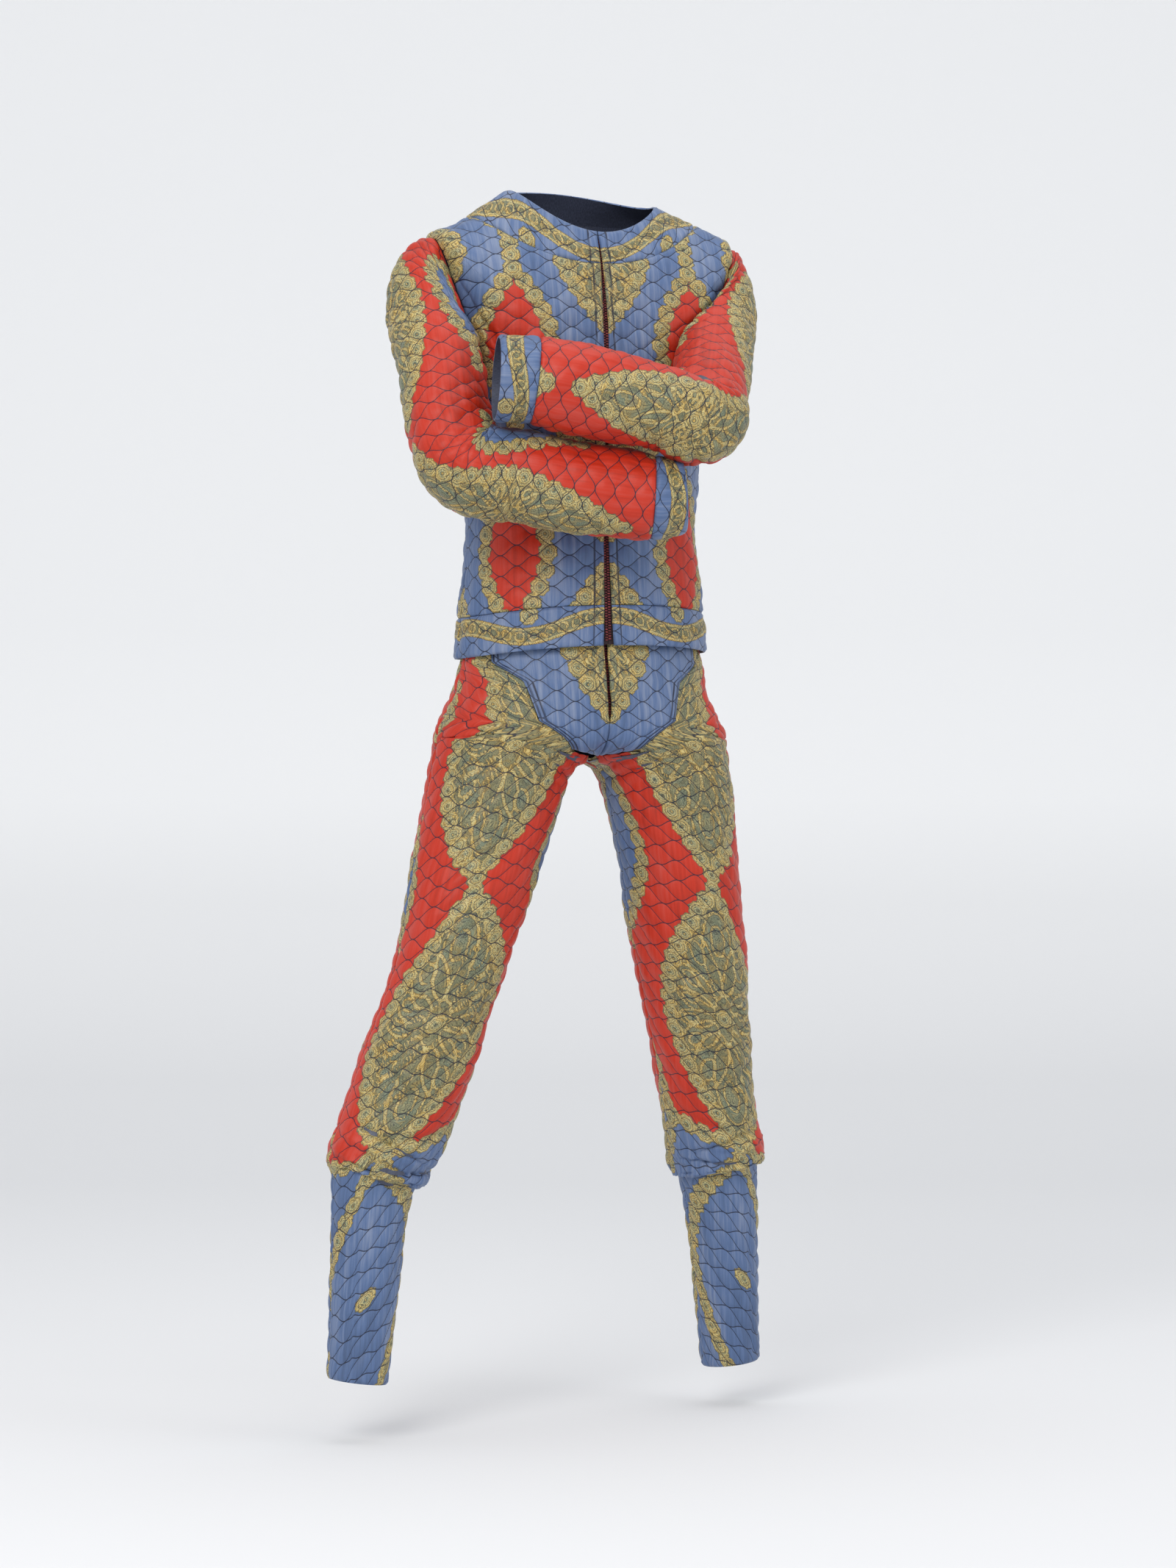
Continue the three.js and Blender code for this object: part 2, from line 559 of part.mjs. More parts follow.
function jacket() {
  const group = new THREE.Group();
  const body = bodyStations();
  const hem = evenStations(torso, HEM_SEAM_ROW + SEAM_GAP_ROWS, HEM_ROW, 60, 24);
  const band = evenStations(torso, NECK_ROW, BAND_ROW, 45, 22);
  const SIDES = [
    { word: "left", side: 1, turn: (deg) => deg },
    { word: "right", side: -1, turn: (deg) => 180 - deg },
  ];
  for (const { word, side, turn } of SIDES) {
    const front = (from) => (station) => [turn(from(station)), turn(frontEdge(station))];
    const seam = () => degreesFor(EDGE_CLEAR, 110);
    group.add(
      quiltedPiece("jacket_front_" + word, torso, body, front((s) => besideArm(s, side, "front")), 12, BLUE_CLOTH),
      quiltedPiece("hem_band_" + word, torso, hem, front(seam), 12, BLUE_CLOTH),
      quiltedPiece("neck_band_" + word, torso, band, front(seam), 12, BLUE_CLOTH),
    );
  }
  const backSpan = (from) => (station) => [-from(station), -180 + from(station)];
  const seam = () => degreesFor(EDGE_CLEAR, 110);
  group.add(
    quiltedPiece("jacket_back", torso, body, backSpan((s) => besideArm(s, 1, "back")), 22, BLUE_CLOTH),
    quiltedPiece("hem_band_back", torso, hem, backSpan(seam), 22, BLUE_CLOTH),
    quiltedPiece("neck_band_back", torso, band, backSpan(seam), 22, BLUE_CLOTH),
  );
  for (const { word, side, table } of [
    { word: "left", side: 1, table: SLEEVE_LEFT },
    { word: "right", side: -1, table: SLEEVE_RIGHT },
  ]) {
    const surface = sleeveSurface(side, table);
    const round = () => [0, 360];
    const sleeve = evenStations(surface, 0, CUFF_SEAM_ROW, 90);
    const cuff = evenStations(surface, CUFF_SEAM_ROW + SEAM_GAP_ROWS, CUFF_ROW, 90, 20);
    group.add(
      quiltedPiece("sleeve_" + word, surface, sleeve, round, 16, RED_CLOTH, { wrap: true, evenDegrees: true }),
      quiltedPiece("cuff_" + word, surface, cuff, round, 16, BLUE_CLOTH, { wrap: true, evenDegrees: true }),
    );
  }
  return group;
}

// ---------------------------------------------------------------- trousers
function trousers() {
  const group = new THREE.Group();
  for (const { word, side, table, folds } of [
    { word: "left", side: 1, table: LEG_LEFT, folds: FOLDS_LEG_LEFT },
    { word: "right", side: -1, table: LEG_RIGHT, folds: FOLDS_LEG_RIGHT },
  ]) {
    const surface = legSurface(side, table, folds);
    const seamAt = (station) => degreesFor(EDGE_CLEAR, rowAt(table, station).across);
    const yokeAt = (station) => surface.angleAtX(station, yokeHalf(rowAt(table, station).z));
    const yokeEnds = FORK_ROW - 0.35;
    const YOKE_SEAM_SHARE = 4; // wider than a plain seam, as the yoke's edge runs aslant
    const hips = evenStations(surface, 0, 4, 45);
    const seat = evenStations(surface, 4, FORK_ROW, 130, 12);
    const crotch = evenStations(surface, FORK_ROW, FORK_ROW + 2, 165, 9);
    const leg = evenStations(surface, FORK_ROW + 2, ANKLE_ROW, 90);
    const all = [...hips, ...seat.slice(1), ...crotch.slice(1), ...leg.slice(1)];
    const inseamAt = (station) => surface.inner(station) - seamAt(station) * clamp((station - FORK_ROW) * 4 + 3, 0, 1);
    const frontSpan = (station) => {
      const seam = seamAt(station);
      return [seam, station < yokeEnds ? yokeAt(station) - seam * YOKE_SEAM_SHARE : inseamAt(station)];
    };
    const backSpan = (station) => [-seamAt(station), -inseamAt(station)];
    const yokeStations = [...hips, ...seat.slice(1)].filter((s) => s < yokeEnds);
    if (yokeStations.length % INNER_STRIDE === 0) yokeStations.pop();
    const yokeSpan = (station) => [yokeAt(station) + seamAt(station) * YOKE_SEAM_SHARE, surface.inner(station)];
    const flySlit = (point, j, gaps) => {
      const open = clamp((point.z - FLY_BOTTOM) / 14, 0, 1);
      const near = ease(clamp((j - gaps + 2) / 2, 0, 1));
      point.x += side * near * (FLY_GAP / 2) * open;
    };
    group.add(
      quiltedPiece("trouser_front_" + word, surface, all, frontSpan, 12, OLIVE_CLOTH),
      quiltedPiece("trouser_back_" + word, surface, all, backSpan, 12, OLIVE_CLOTH),
      quiltedPiece("front_yoke_" + word, surface, yokeStations, yokeSpan, 6, BLUE_CLOTH, { trim: flySlit }),
    );
  }
  return group;
}

// ---------------------------------------------------------------- zips
// A flat strip that follows a line of points just behind the cloth: tape from xNear to xFar.
function tapeSolid(name, line, xNear, xFar, material) {
  const section = [
    [xNear, 0],
    [xFar, 0],
    [xFar, TAPE_THICK],
    [xNear, TAPE_THICK],
  ];
  const points = line.flatMap((p) => section.map(([x, y]) => new THREE.Vector3(p.x + x, p.y + y, p.z)));
  const triangles = [];
  const n = section.length;
  for (let i = 0; i < line.length - 1; i++)
    for (let k = 0; k < n; k++) {
      const [a, b] = [i * n + k, i * n + ((k + 1) % n)];
      triangles.push([a, b, b + n], [a, b + n, a + n]);
    }
  const end = (line.length - 1) * n;
  triangles.push([0, 2, 1], [0, 3, 2], [end, end + 1, end + 2], [end, end + 2, end + 3]);
  return solidMesh(name, points, triangles, material);
}

function zips() {
  const group = new THREE.Group();
  const behind = WALL + SEAM_GAP + 1.4;
  const jacketLine = evenStations(torso, NECK_ROW + 0.2, HEM_ROW - 0.06, 90, 30).map((s) => {
    const p = torso.at(s, 90);
    return p.addScaledVector(normalAt(torso, s, 90), -behind).setX(0);
  });
  for (const [word, side] of [["left", 1], ["right", -1]])
    group.add(tapeSolid("jacket_zip_" + word, jacketLine, side * EDGE_CLEAR, side * TAPE_WIDE, ZIP_TAPE));
  const fly = legSurface(1, LEG_LEFT, []);
  const flyStations = evenStations(fly, 0.1, 5.1, 90, 20);
  const flyLine = flyStations.map((s) => {
    const p = fly.at(s, fly.inner(s));
    return new THREE.Vector3(middleX(p.z), p.y + behind + 2.5, p.z);
  });
  group.add(tapeSolid("fly_zip", flyLine, -TAPE_WIDE, TAPE_WIDE, ZIP_TAPE));
  return group;
}

// ---------------------------------------------------------------- the suit
const suit = new THREE.Group();
suit.add(jacket(), trousers(), zips());
export default suit;
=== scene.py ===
"""A quilted two-piece suit in its worn pose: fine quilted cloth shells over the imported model."""

import math

import bpy
import numpy as np
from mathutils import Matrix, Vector


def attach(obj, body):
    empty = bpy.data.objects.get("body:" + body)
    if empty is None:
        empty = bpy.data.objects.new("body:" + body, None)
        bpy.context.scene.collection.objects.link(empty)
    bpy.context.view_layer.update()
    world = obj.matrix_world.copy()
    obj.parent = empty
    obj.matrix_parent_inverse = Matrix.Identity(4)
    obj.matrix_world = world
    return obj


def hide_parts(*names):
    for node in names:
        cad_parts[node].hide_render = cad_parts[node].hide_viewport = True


bl_info = {
    "name": "Quilted two-piece suit",
    "version": (1, 0, 0),
    "blender": (4, 5, 0),
    "location": "3D View > Sidebar > Suit",
    "description": "Sews the cloth, zips and studio of a quilted jacket and trousers",
    "category": "Object",
}

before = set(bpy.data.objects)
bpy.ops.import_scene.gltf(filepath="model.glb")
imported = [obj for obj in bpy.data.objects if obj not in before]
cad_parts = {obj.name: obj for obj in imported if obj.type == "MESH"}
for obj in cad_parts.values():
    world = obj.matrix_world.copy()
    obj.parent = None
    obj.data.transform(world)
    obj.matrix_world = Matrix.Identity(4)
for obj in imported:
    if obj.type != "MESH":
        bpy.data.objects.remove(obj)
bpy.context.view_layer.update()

# ---------------------------------------------------------------- sizes, in millimetres
MM = 0.001
SIDES = (("left", 1), ("right", -1))  # the wearer's own
WALL = 2.2  # lined, wadded cloth along its stitching
SEAM_GAP = 0.16  # clear space between two pieces at a seam
EDGE_CLEAR = SEAM_GAP / 2
NECK_SEAM_ROWS, BAND_SEAM_ROWS = 0.006, 0.008  # the same at a band's seam, in rows of its table
INNER_STRIDE = 4  # the plain lining uses every fourth row and column
PAD_LONG = 23.5  # one quilted pad, lengthwise
PAD_WIDE = 40.0  # one full wave of a stitching line
WAVE_HIGH = 5.85  # how far a stitching line swings to each side
EDGE_FLAT = 3.5  # the wadding is trimmed away this near to a seam
EDGE_TURN, EDGE_TUCK = 1.6, 0.5  # the last strip at a seam, and how far it is tucked under
FOLD_EDGE = 22  # folds fade out over this strip beside a seam
THREAD_REACH, THREAD_PRESS = 2.4, 0.25  # topstitching presses the pads this near to it, down to this share
NO_THREAD = 40.0  # a place far from any topstitching

# The rows of the tables where the seams lie.
NECK_ROW, BAND_ROW, SHOULDER_ROW, UNDERARM_ROW, HEM_SEAM_ROW, HEM_ROW = 0, 1, 3, 5.4, 8, 9
CUFF_SEAM_ROW, CUFF_ROW = 10, 11
FORK_ROW, ANKLE_ROW = 8, 18
YOKE_END_ROW = 7.94

JACKET_GAP_TOP, JACKET_GAP_HEM = 2.4, 9.5  # between the fronts, down to the arms and at the hem
ZIP_RADIUS, SIDE_RADIUS, ARM_RADIUS = 150, 110, 46  # where a length beside a seam is turned into degrees
ARMHOLE_SEAM_DEG = {"front": 0.85, "back": 0.38}  # clear of the arm, half-way down the armhole
GRAIN_TOP, GRAIN_LONG = 120, 70  # from this depth, over this length, the grain starts to follow the cloth
GRAIN_SLOPE = 0.35  # how much the level rows bend down over the shoulders
BODY_DEEP = {"front": 99, "back": 108}  # from the middle to the chest and the back
ROW_CROWDING = 0.6  # how much closer the body's rows are at both ends of the armhole
ARMHOLE_STEPS = 6
CAP_ROWS, CAP_FRONT_ROWS = 2.2, 0.8  # how far the cap of a sleeve reaches down the arm, and further in front
CAP_PUFF = {1: 10, -1: 15}  # by side: 1 is the wearer's left
PUFF_OUT, PUFF_UP = 0.85, 0.2  # the shares of it that go sideways and up
SLEEVE_CLEAR, ARM_CLEAR = 5.4, 6  # from the body to a sleeve's cap, and what the arm adds to it
SLEEVE_START = (-0.08, -0.45)  # y and z of the way that a sleeve leaves its armhole
CAP_LIFT_ROWS = 0.3  # a sleeve is clear of the body from this row on
UNDERARM_GAPS = 3  # its seam stands off by this many more gaps under the arm
SEARCH_STEPS = 14  # halvings in the search for the torso's row at a height
FORK_SHIFT, FORK_SHIFT_TOP, FORK_SHIFT_LONG = 5, -490, 110  # the fork hangs to one side of the middle
# The trousers' rows from, to, and the line, in degrees, that they are evenly spaced on.
LEG_STRETCHES = ((0, 4, 45), (4, FORK_ROW, 130), (FORK_ROW, ANKLE_ROW, 90))
LEG_LINE, LEG_MIDDLES = 60.0, {"front": 78.0, "back": -84.0}  # where length and width are measured from
LEG_OWN_LENGTH = 0.6  # how far the print follows each thread's own length instead of that line's
JACKET_LINE, BACK_MIDDLE = 60, -90.0
ROW_SAMPLES, COLUMN_SAMPLES, WIDTH_SAMPLES = 900, 121, 80  # places by which lengths on the cloth are measured
WIDTHS_TRIED = 12
FLY_BOTTOM, FLY_GAP = -572, 4.4
FLY_OPENING, FLY_BESIDE = 14, 24  # the height over which the slit opens, and how far beside it cloth moves
YOKE_GAPS = 3  # half gaps from the yoke's edge to each side
LAP = 1.2  # the front yoke is lapped over the trousers by this much
ZIP_THREAD = {1: 8.5, -1: 11.5}  # topstitching, from the edge beside the zip
YOKE_THREADS = (3, 8.5)  # and from the yoke's edge

# Slow unevenness of cloth that hangs: waves by length across, length along, phase and height.
DRAPE_WAVES = ((83, 141, 0.7, 0.75), (-205, 97, 2.1, 0.6), (47, 61, 4.0, 0.5))

# The zips: moulded teeth on woven tape.
TOOTH_PITCH = 3.0
TOOTH_SIZE = (2.6, 1.9, 1.5)
TOOTH_INSET, TOOTH_HEAD = 0.3, 0.4  # how far its head is pinched in and pulled out
TOOTH_LIFT = TOOTH_SIZE[1] / 2 + 0.1  # from the tape to a tooth's middle
ZIP_END = 4  # bare tape at each end
JACKET_TEETH_X, FLY_TEETH_X = 1.9, 1.3  # from the middle of each zip

# The studio, in metres and watts.
FLOOR_SWEEP = ((-9, 0), (3, 0), (4.2, 0.1), (5, 0.45), (5.4, 1.1), (5.5, 2), (5.5, 9))  # depth and rise
FLOOR_HALF = 14.0
FLOOR_FADE = 0.7  # the floor's painted shade fades into the backdrop's tone over this height
CAMERA_TURN = math.radians(-18)
CAMERA_PLACE = (-1.5365, -4.758, -0.639)
CAMERA_LENS, CAMERA_FILM = 100, 36
WORLD_STRENGTH = 0.84
LIGHTS = (  # name, place, aim, size, power and tint
    ("key light", (-2.6, -3.4, 1.9), (0, 0, -0.5), 2.4, 108, (1.0, 0.985, 0.96)),
    ("fill light", (3.2, -3.6, 0.6), (0, 0, -0.6), 3.0, 30, (0.96, 0.98, 1.0)),
    ("top light", (0.3, -0.2, 2.9), (0, 0, -0.5), 3.0, 30, (1.0, 1.0, 1.0)),
)


# ---------------------------------------------------------------- tables
def table(columns, *rows):
    """Named columns from rows of numbers."""
    return dict(zip(columns.split(), np.array(rows, float).T))


# Torso rings from the neck edge to the hem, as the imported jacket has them.
TORSO = table(
    "half front back z_side z_front z_back square tilt",
    (87, 64, 66, 33, -12, 46, 2.0, -0.07),
    (134, 80, 88, 6, -50, 14, 2.15, 0),
    (156, 90, 100, -5, -92, -30, 2.3, 0.01),
    (177, 96, 107, -20, -128, -78, 2.4, 0),
    (160, 99, 111, -96, -168, -130, 2.35, 0),
    (145, 100, 109, -166, -205, -190, 2.3, 0),
    (140, 99, 103, -235, -262, -250, 2.25, 0),
    (133, 96, 90, -345, -345, -345, 2.2, 0.01),
    (142, 103, 102, -446, -437, -446, 2.2, 0.025),
    (146, 106, 106, -492, -483, -492, 2.2, 0.03),
)

# Degrees cut away each side of the arm, at even steps from the shoulder tip to under the arm.
ARMHOLES = {
    -1: table("front back", (0, 0), (11, 9), (17, 14.5), (20, 16.5), (21, 15), (14, 7), (0, 0)),
    1: table("front back", (0, 0), (18, 9), (33, 14.5), (43, 16.5), (46, 15), (34, 7), (0, 0)),
}

# Sleeve rings from the armhole to the cuff edge.
SLEEVES = {
    -1: table(
        "x y z rise deep",
        (-168, 2, -96, 60, 54),
        (-178, -8, -92, 52, 52),
        (-186, -26, -104, 45, 50),
        (-188, -56, -148, 44, 48),
        (-188, -88, -198, 45, 47),
        (-188, -118, -250, 49, 48),
        (-174, -138, -289, 59, 50),
        (-124, -151, -298, 54, 51),
        (-76, -166, -308, 52, 50),
        (-28, -179, -315, 50, 49),
        (22, -193, -322, 48, 46),
        (56, -201, -320, 41, 40),
    ),
    1: table(
        "x y z rise deep",
        (168, 2, -98, 60, 54),
        (165, -14, -86, 47, 48),
        (156, -38, -100, 39, 44),
        (136, -84, -139, 37, 43),
        (113, -134, -176, 38, 44),
        (90, -184, -210, 40, 44),
        (70, -218, -238, 48, 47),
        (20, -222, -224, 45, 45),
        (-30, -210, -214, 50, 48),
        (-76, -200, -203, 51, 48),
        (-114, -192, -196, 48, 46),
        (-156, -184, -194, 48, 45),
    ),
}

# Trouser rings from the waist to the ankle hem; above the fork a ring is cut short at x = 0.
LEG_TOP = (
    (0, 0, -424, 128, 84, 86, 0),
    (0, 0, -462, 134, 90, 94, 0),
    (0, 0, -496, 140, 96, 101, 0),
    (0, 0, -520, 146, 100, 106, 0),
)
LEGS = {
    -1: table(
        "x y z across front back lean",
        *LEG_TOP,
        (3, 0, -544, 150, 101, 107, 1),
        (21, 0, -566, 143, 98, 105, 3),
        (52, 0, -583, 121, 94, 101, 6),
        (76, 0, -591, 101, 90.5, 97.5, 9),
        (88, 0, -594, 90, 88, 95, 11.5),
        (96, 0, -608, 80.5, 85, 92, 12),
        (104, -1, -632, 77.5, 81, 87, 13),
        (124, -5, -700, 73, 75, 77, 15),
        (151, -14, -790, 66, 70, 70, 16),
        (172, -21, -860, 60, 66, 65, 18),
        (206, -28, -950, 62, 64, 66, 20),
        (240, -35, -1032, 60, 60, 62, 20),
        (258, -40, -1073, 57, 56, 57, 17),
        (266, -44, -1106, 43, 44, 46, 12),
        (286, -62, -1304, 33, 35, 37, 7),
    ),
    1: table(
        "x y z across front back lean",
        *LEG_TOP,
        (0, 0, -544, 148, 101, 107, 1),
        (14, 0, -566, 141, 98, 105, 3),
        (44, 0, -583, 120, 94, 101, 6),
        (70, 0, -591, 98, 90.5, 97.5, 9),
        (83, 0, -594, 84.8, 88, 95, 11.5),
        (92, 0, -608, 75.5, 85, 92, 12),
        (99, 1, -632, 73, 81, 87, 11),
        (113, 8, -700, 69, 74, 75, 9),
        (127, 16, -790, 66, 70, 70, 8),
        (139, 23, -860, 63, 66, 66, 8),
        (155, 36, -950, 56, 61, 62, 8),
        (172, 50, -1040, 54, 57, 58, 8),
        (182, 57, -1084, 55, 56, 57, 8),
        (188, 63, -1114, 43, 44, 46, 8),
        (211, 91, -1322, 33, 35, 37, 7),
    ),
}
YOKE_EDGE = table("z half", (-606, 14), (-572, 81), (-524, 92), (-502, 121), (-424, 116))

# Creases: at is the row along the piece and turn the degrees round it, long and wide are half sizes in the
# same units, depth is in mm and negative in a trough, and skew is rows per degree.
CREASE_COLUMNS = "at turn long wide depth skew"
JACKET_CREASES = table(
    CREASE_COLUMNS,
    (4.5, 60, 0.16, 26, -2.6, 0.03),
    (4.9, 63, 0.14, 24, 2.4, 0.028),
    (5.3, 58, 0.15, 22, -2.2, 0.03),
    (4.3, 140, 0.14, 22, -2.4, -0.03),
    (4.8, 136, 0.13, 20, 2.0, -0.028),
    (6.6, 70, 0.12, 30, -1.6, 0.006),
    (7.1, 120, 0.1, 34, -1.8, -0.004),
    (7.4, 40, 0.1, 30, 1.5, 0.004),
    (7.0, 200, 0.12, 34, -1.8, 0.005),
    (7.3, 280, 0.12, 40, -2.2, -0.004),
    (6.5, 250, 0.12, 40, -2.0, 0.006),
    (4.4, 225, 0.16, 26, -2.4, 0.03),
    (4.5, 318, 0.16, 26, -2.4, -0.03),
    (6.9, 335, 0.12, 30, 1.6, -0.006),
)
SLEEVE_CREASES = table(
    CREASE_COLUMNS,
    (5.6, 180, 0.34, 78, -7, 0),
    (4.9, 165, 0.3, 60, 4, 0.004),
    (6.4, 190, 0.3, 60, 4, -0.004),
    (4.1, 150, 0.3, 55, -3.5, 0.006),
    (5.25, 150, 0.1, 62, -3.2, 0.004),
    (5.95, 205, 0.1, 62, -3.2, -0.004),
    (6.7, 170, 0.11, 52, -3.0, 0.003),
    (7.3, 200, 0.12, 48, -2.2, -0.004),
    (3.4, 120, 0.12, 52, -3.0, 0.008),
    (2.9, 100, 0.12, 48, -2.6, 0.009),
    (3.8, 95, 0.11, 46, 2.2, 0.008),
    (2.2, 60, 0.14, 50, -2.2, 0.008),
    (5.2, 20, 0.14, 48, -1.8, 0.005),
    (6.1, 330, 0.14, 46, -2.0, -0.004),
    (8.2, 150, 0.12, 60, -1.6, 0.004),
    (9.1, 210, 0.12, 52, -1.6, -0.005),
)
LEG_CREASES = {
    -1: table(
        CREASE_COLUMNS,
        (13.2, 120, 0.22, 70, -4, 0.003),
        (13.8, 60, 0.25, 60, 4, 0.003),
        (15.7, 110, 0.22, 80, -4.5, -0.003),
        (16.25, 80, 0.2, 90, 4, -0.002),
        (16.6, 200, 0.2, 80, -5, 0.002),
        (8.7, 150, 0.2, 48, -3.0, 0.012),
        (9.4, 140, 0.18, 52, -2.6, 0.01),
        (10.1, 40, 0.16, 46, -2.0, -0.008),
        (12.6, 230, 0.12, 60, -2.6, 0.004),
        (13.0, 300, 0.12, 60, -2.8, -0.004),
        (13.5, 250, 0.12, 60, 2.6, 0.003),
        (15.1, 60, 0.1, 60, -2.6, 0.004),
        (15.4, 170, 0.1, 70, -3.0, -0.004),
        (15.95, 30, 0.09, 70, -3.2, 0.003),
        (16.1, 160, 0.08, 60, -3.0, 0.002),
        (16.35, 290, 0.09, 80, -3.0, 0.003),
        (15.8, 250, 0.09, 70, -3.0, -0.004),
    ),
    1: table(
        CREASE_COLUMNS,
        (13.4, 250, 0.25, 70, -4, 0.002),
        (15.8, 150, 0.22, 70, -4.5, 0.003),
        (16.3, 140, 0.2, 80, 4, 0.002),
        (16.6, 20, 0.2, 80, -4, 0.002),
        (8.6, 150, 0.2, 46, -2.8, 0.012),
        (9.2, 145, 0.18, 50, -2.4, 0.01),
        (12.9, 130, 0.12, 60, -2.4, 0.004),
        (13.6, 110, 0.12, 60, -2.2, 0.003),
        (13.1, 270, 0.12, 60, -2.6, -0.004),
        (15.2, 60, 0.1, 60, -2.4, 0.004),
        (15.5, 100, 0.1, 70, -2.8, -0.003),
        (16.0, 60, 0.09, 70, -3.2, 0.003),
        (16.2, 230, 0.09, 80, -3.0, 0.002),
        (15.7, 290, 0.09, 70, -2.8, 0.004),
    ),
}


# Finer folds, pressed into the cloth alone, with the same columns.
SLEEVE_LINES = (0, 40, 80, -40, -80)
SLEEVE_PULLS = table(
    CREASE_COLUMNS,
    (1.1, 70, 0.1, 42, -2.6, 0.014),
    (1.6, 95, 0.1, 40, -2.4, 0.014),
    (1.4, 300, 0.1, 42, -2.4, -0.012),
    (3.2, 60, 0.08, 50, -2.0, 0.01),
    (4.5, 100, 0.07, 62, -2.8, 0.011),
    (4.85, 115, 0.06, 60, 2.0, 0.009),
    (5.1, 95, 0.06, 64, -2.6, 0.008),
    (5.4, 170, 0.06, 84, -3.0, 0.004),
    (5.75, 180, 0.06, 84, -3.0, -0.002),
    (5.9, 95, 0.06, 56, -2.6, -0.006),
    (6.15, 170, 0.06, 74, -3.0, -0.006),
    (6.5, 120, 0.07, 60, -2.6, -0.009),
    (7.0, 130, 0.08, 52, -2.2, -0.01),
    (4.7, 260, 0.07, 60, -2.8, -0.01),
    (5.3, 250, 0.06, 60, -2.6, -0.004),
    (6.2, 250, 0.07, 60, -2.6, 0.008),
    (6.9, 240, 0.08, 56, -2.0, 0.01),
)
JACKET_PULLS = table(
    CREASE_COLUMNS,
    (4.0, 40, 0.1, 26, -2.2, 0.03),
    (4.6, 45, 0.09, 26, 1.8, 0.03),
    (5.0, 42, 0.09, 26, -2.4, 0.028),
    (3.9, 146, 0.1, 24, -2.2, -0.03),
    (4.6, 142, 0.09, 24, -2.2, -0.03),
    (6.2, 30, 0.1, 34, -2.0, 0.01),
    (6.8, 50, 0.09, 34, -1.8, -0.008),
    (6.4, 150, 0.1, 34, -2.0, -0.01),
    (7.2, 145, 0.08, 30, -1.6, 0.008),
    (5.8, 230, 0.12, 40, -2.0, 0.01),
    (6.3, 300, 0.12, 40, -2.0, -0.01),
)
LEG_PULLS = table(
    CREASE_COLUMNS,
    (7.6, 30, 0.14, 40, -2.0, -0.012),
    (9.0, 120, 0.12, 46, -2.4, 0.014),
    (9.7, 125, 0.12, 46, -2.0, 0.014),
    (11.4, 70, 0.1, 50, -1.6, -0.008),
    (12.8, 95, 0.09, 60, -2.6, 0.007),
    (13.3, 60, 0.08, 60, 2.0, 0.006),
    (13.6, 90, 0.08, 64, -2.8, -0.006),
    (14.4, 70, 0.08, 70, -2.4, 0.006),
    (14.9, 110, 0.07, 60, -2.8, -0.007),
    (15.25, 90, 0.05, 84, -3.4, 0.004),
    (15.5, 60, 0.05, 70, 2.6, 0.005),
    (15.75, 120, 0.05, 74, -3.8, -0.005),
    (16.0, 75, 0.05, 84, 2.8, 0.004),
    (16.2, 100, 0.05, 90, -4.0, -0.003),
    (16.5, 60, 0.05, 90, -3.6, 0.004),
    (12.9, 260, 0.09, 60, -2.6, 0.006),
    (13.5, 280, 0.08, 64, -2.6, -0.006),
    (14.7, 265, 0.08, 60, -2.6, 0.007),
    (15.4, 290, 0.05, 84, -3.4, -0.004),
    (15.8, 250, 0.05, 74, 2.8, 0.005),
    (16.1, 280, 0.05, 90, -3.8, 0.003),
    (16.4, 240, 0.05, 90, -3.6, -0.004),
)
HIP_ROWS = (3.6, 9.6)  # between these the outer hip is rounded off
HIP_TURN = 62  # as far round as this many degrees from the outer seam
HIP_FULL_ROWS, HIP_FULL_TURN = 1.6, 1.4  # how soon from those limits the rounding is at its full
HIP_ROUNDS, HIP_PULL = 420, 0.25  # passes of smoothing, and how far each one pulls


# ---------------------------------------------------------------- small maths
def soft_step(t):
    """0 to 1 as t goes from 0 to 1, level at both ends."""
    t = np.clip(t, 0, 1)
    return t * t * (3 - 2 * t)


def row_at(rows, station):
    """A table's row at any station, by a curve that passes through every row."""
    last = len(next(iter(rows.values()))) - 1
    station = np.asarray(station, float)
    i = np.clip(np.floor(station).astype(int), 0, last - 1)
    t = np.clip(station - i, 0, 1)
    picks = [np.clip(i + k, 0, last) for k in (-1, 0, 1, 2)]
    row = {}
    for name, column in rows.items():
        p0, p1, p2, p3 = (column[k] for k in picks)
        m1, m2 = (p2 - p0) / 2, (p3 - p1) / 2
        row[name] = (
            p1 * (2 * t**3 - 3 * t**2 + 1) + m1 * (t**3 - 2 * t**2 + t)
            + p2 * (3 * t**2 - 2 * t**3) + m2 * (t**3 - t**2)
        )
    return row


def crease_height(creases, station, deg):
    """Height of a table of creases at each place, in millimetres."""
    height = np.zeros(np.broadcast(station, deg).shape)
    for at, turn, long, wide, depth, skew in zip(*creases.values()):
        side = wrap(deg - turn, 360)
        along = (station - at - side * skew) / long
        share = np.clip(1 - (side / wide) ** 2, 0, None)
        height += depth * np.exp(-along * along) * share * share
    return height


def wrap(value, period):
    """The value moved by whole periods to lie within half a period of 0."""
    return (value + period / 2) % period - period / 2


def turn_parts(deg):
    """Cosine and sine of an angle in degrees."""
    return np.cos(np.radians(deg)), np.sin(np.radians(deg))


def degrees_for(length, radius):
    """The angle that a length takes up at a radius."""
    return length / radius * 180 / math.pi


def lengths_along(points, axis=0):
    """The length from the first point to each, along one axis of a line or grid."""
    steps = np.linalg.norm(np.diff(points, axis=axis), axis=-1)
    return np.concatenate([np.zeros_like(steps.take([0], axis)), np.cumsum(steps, axis=axis)], axis=axis)


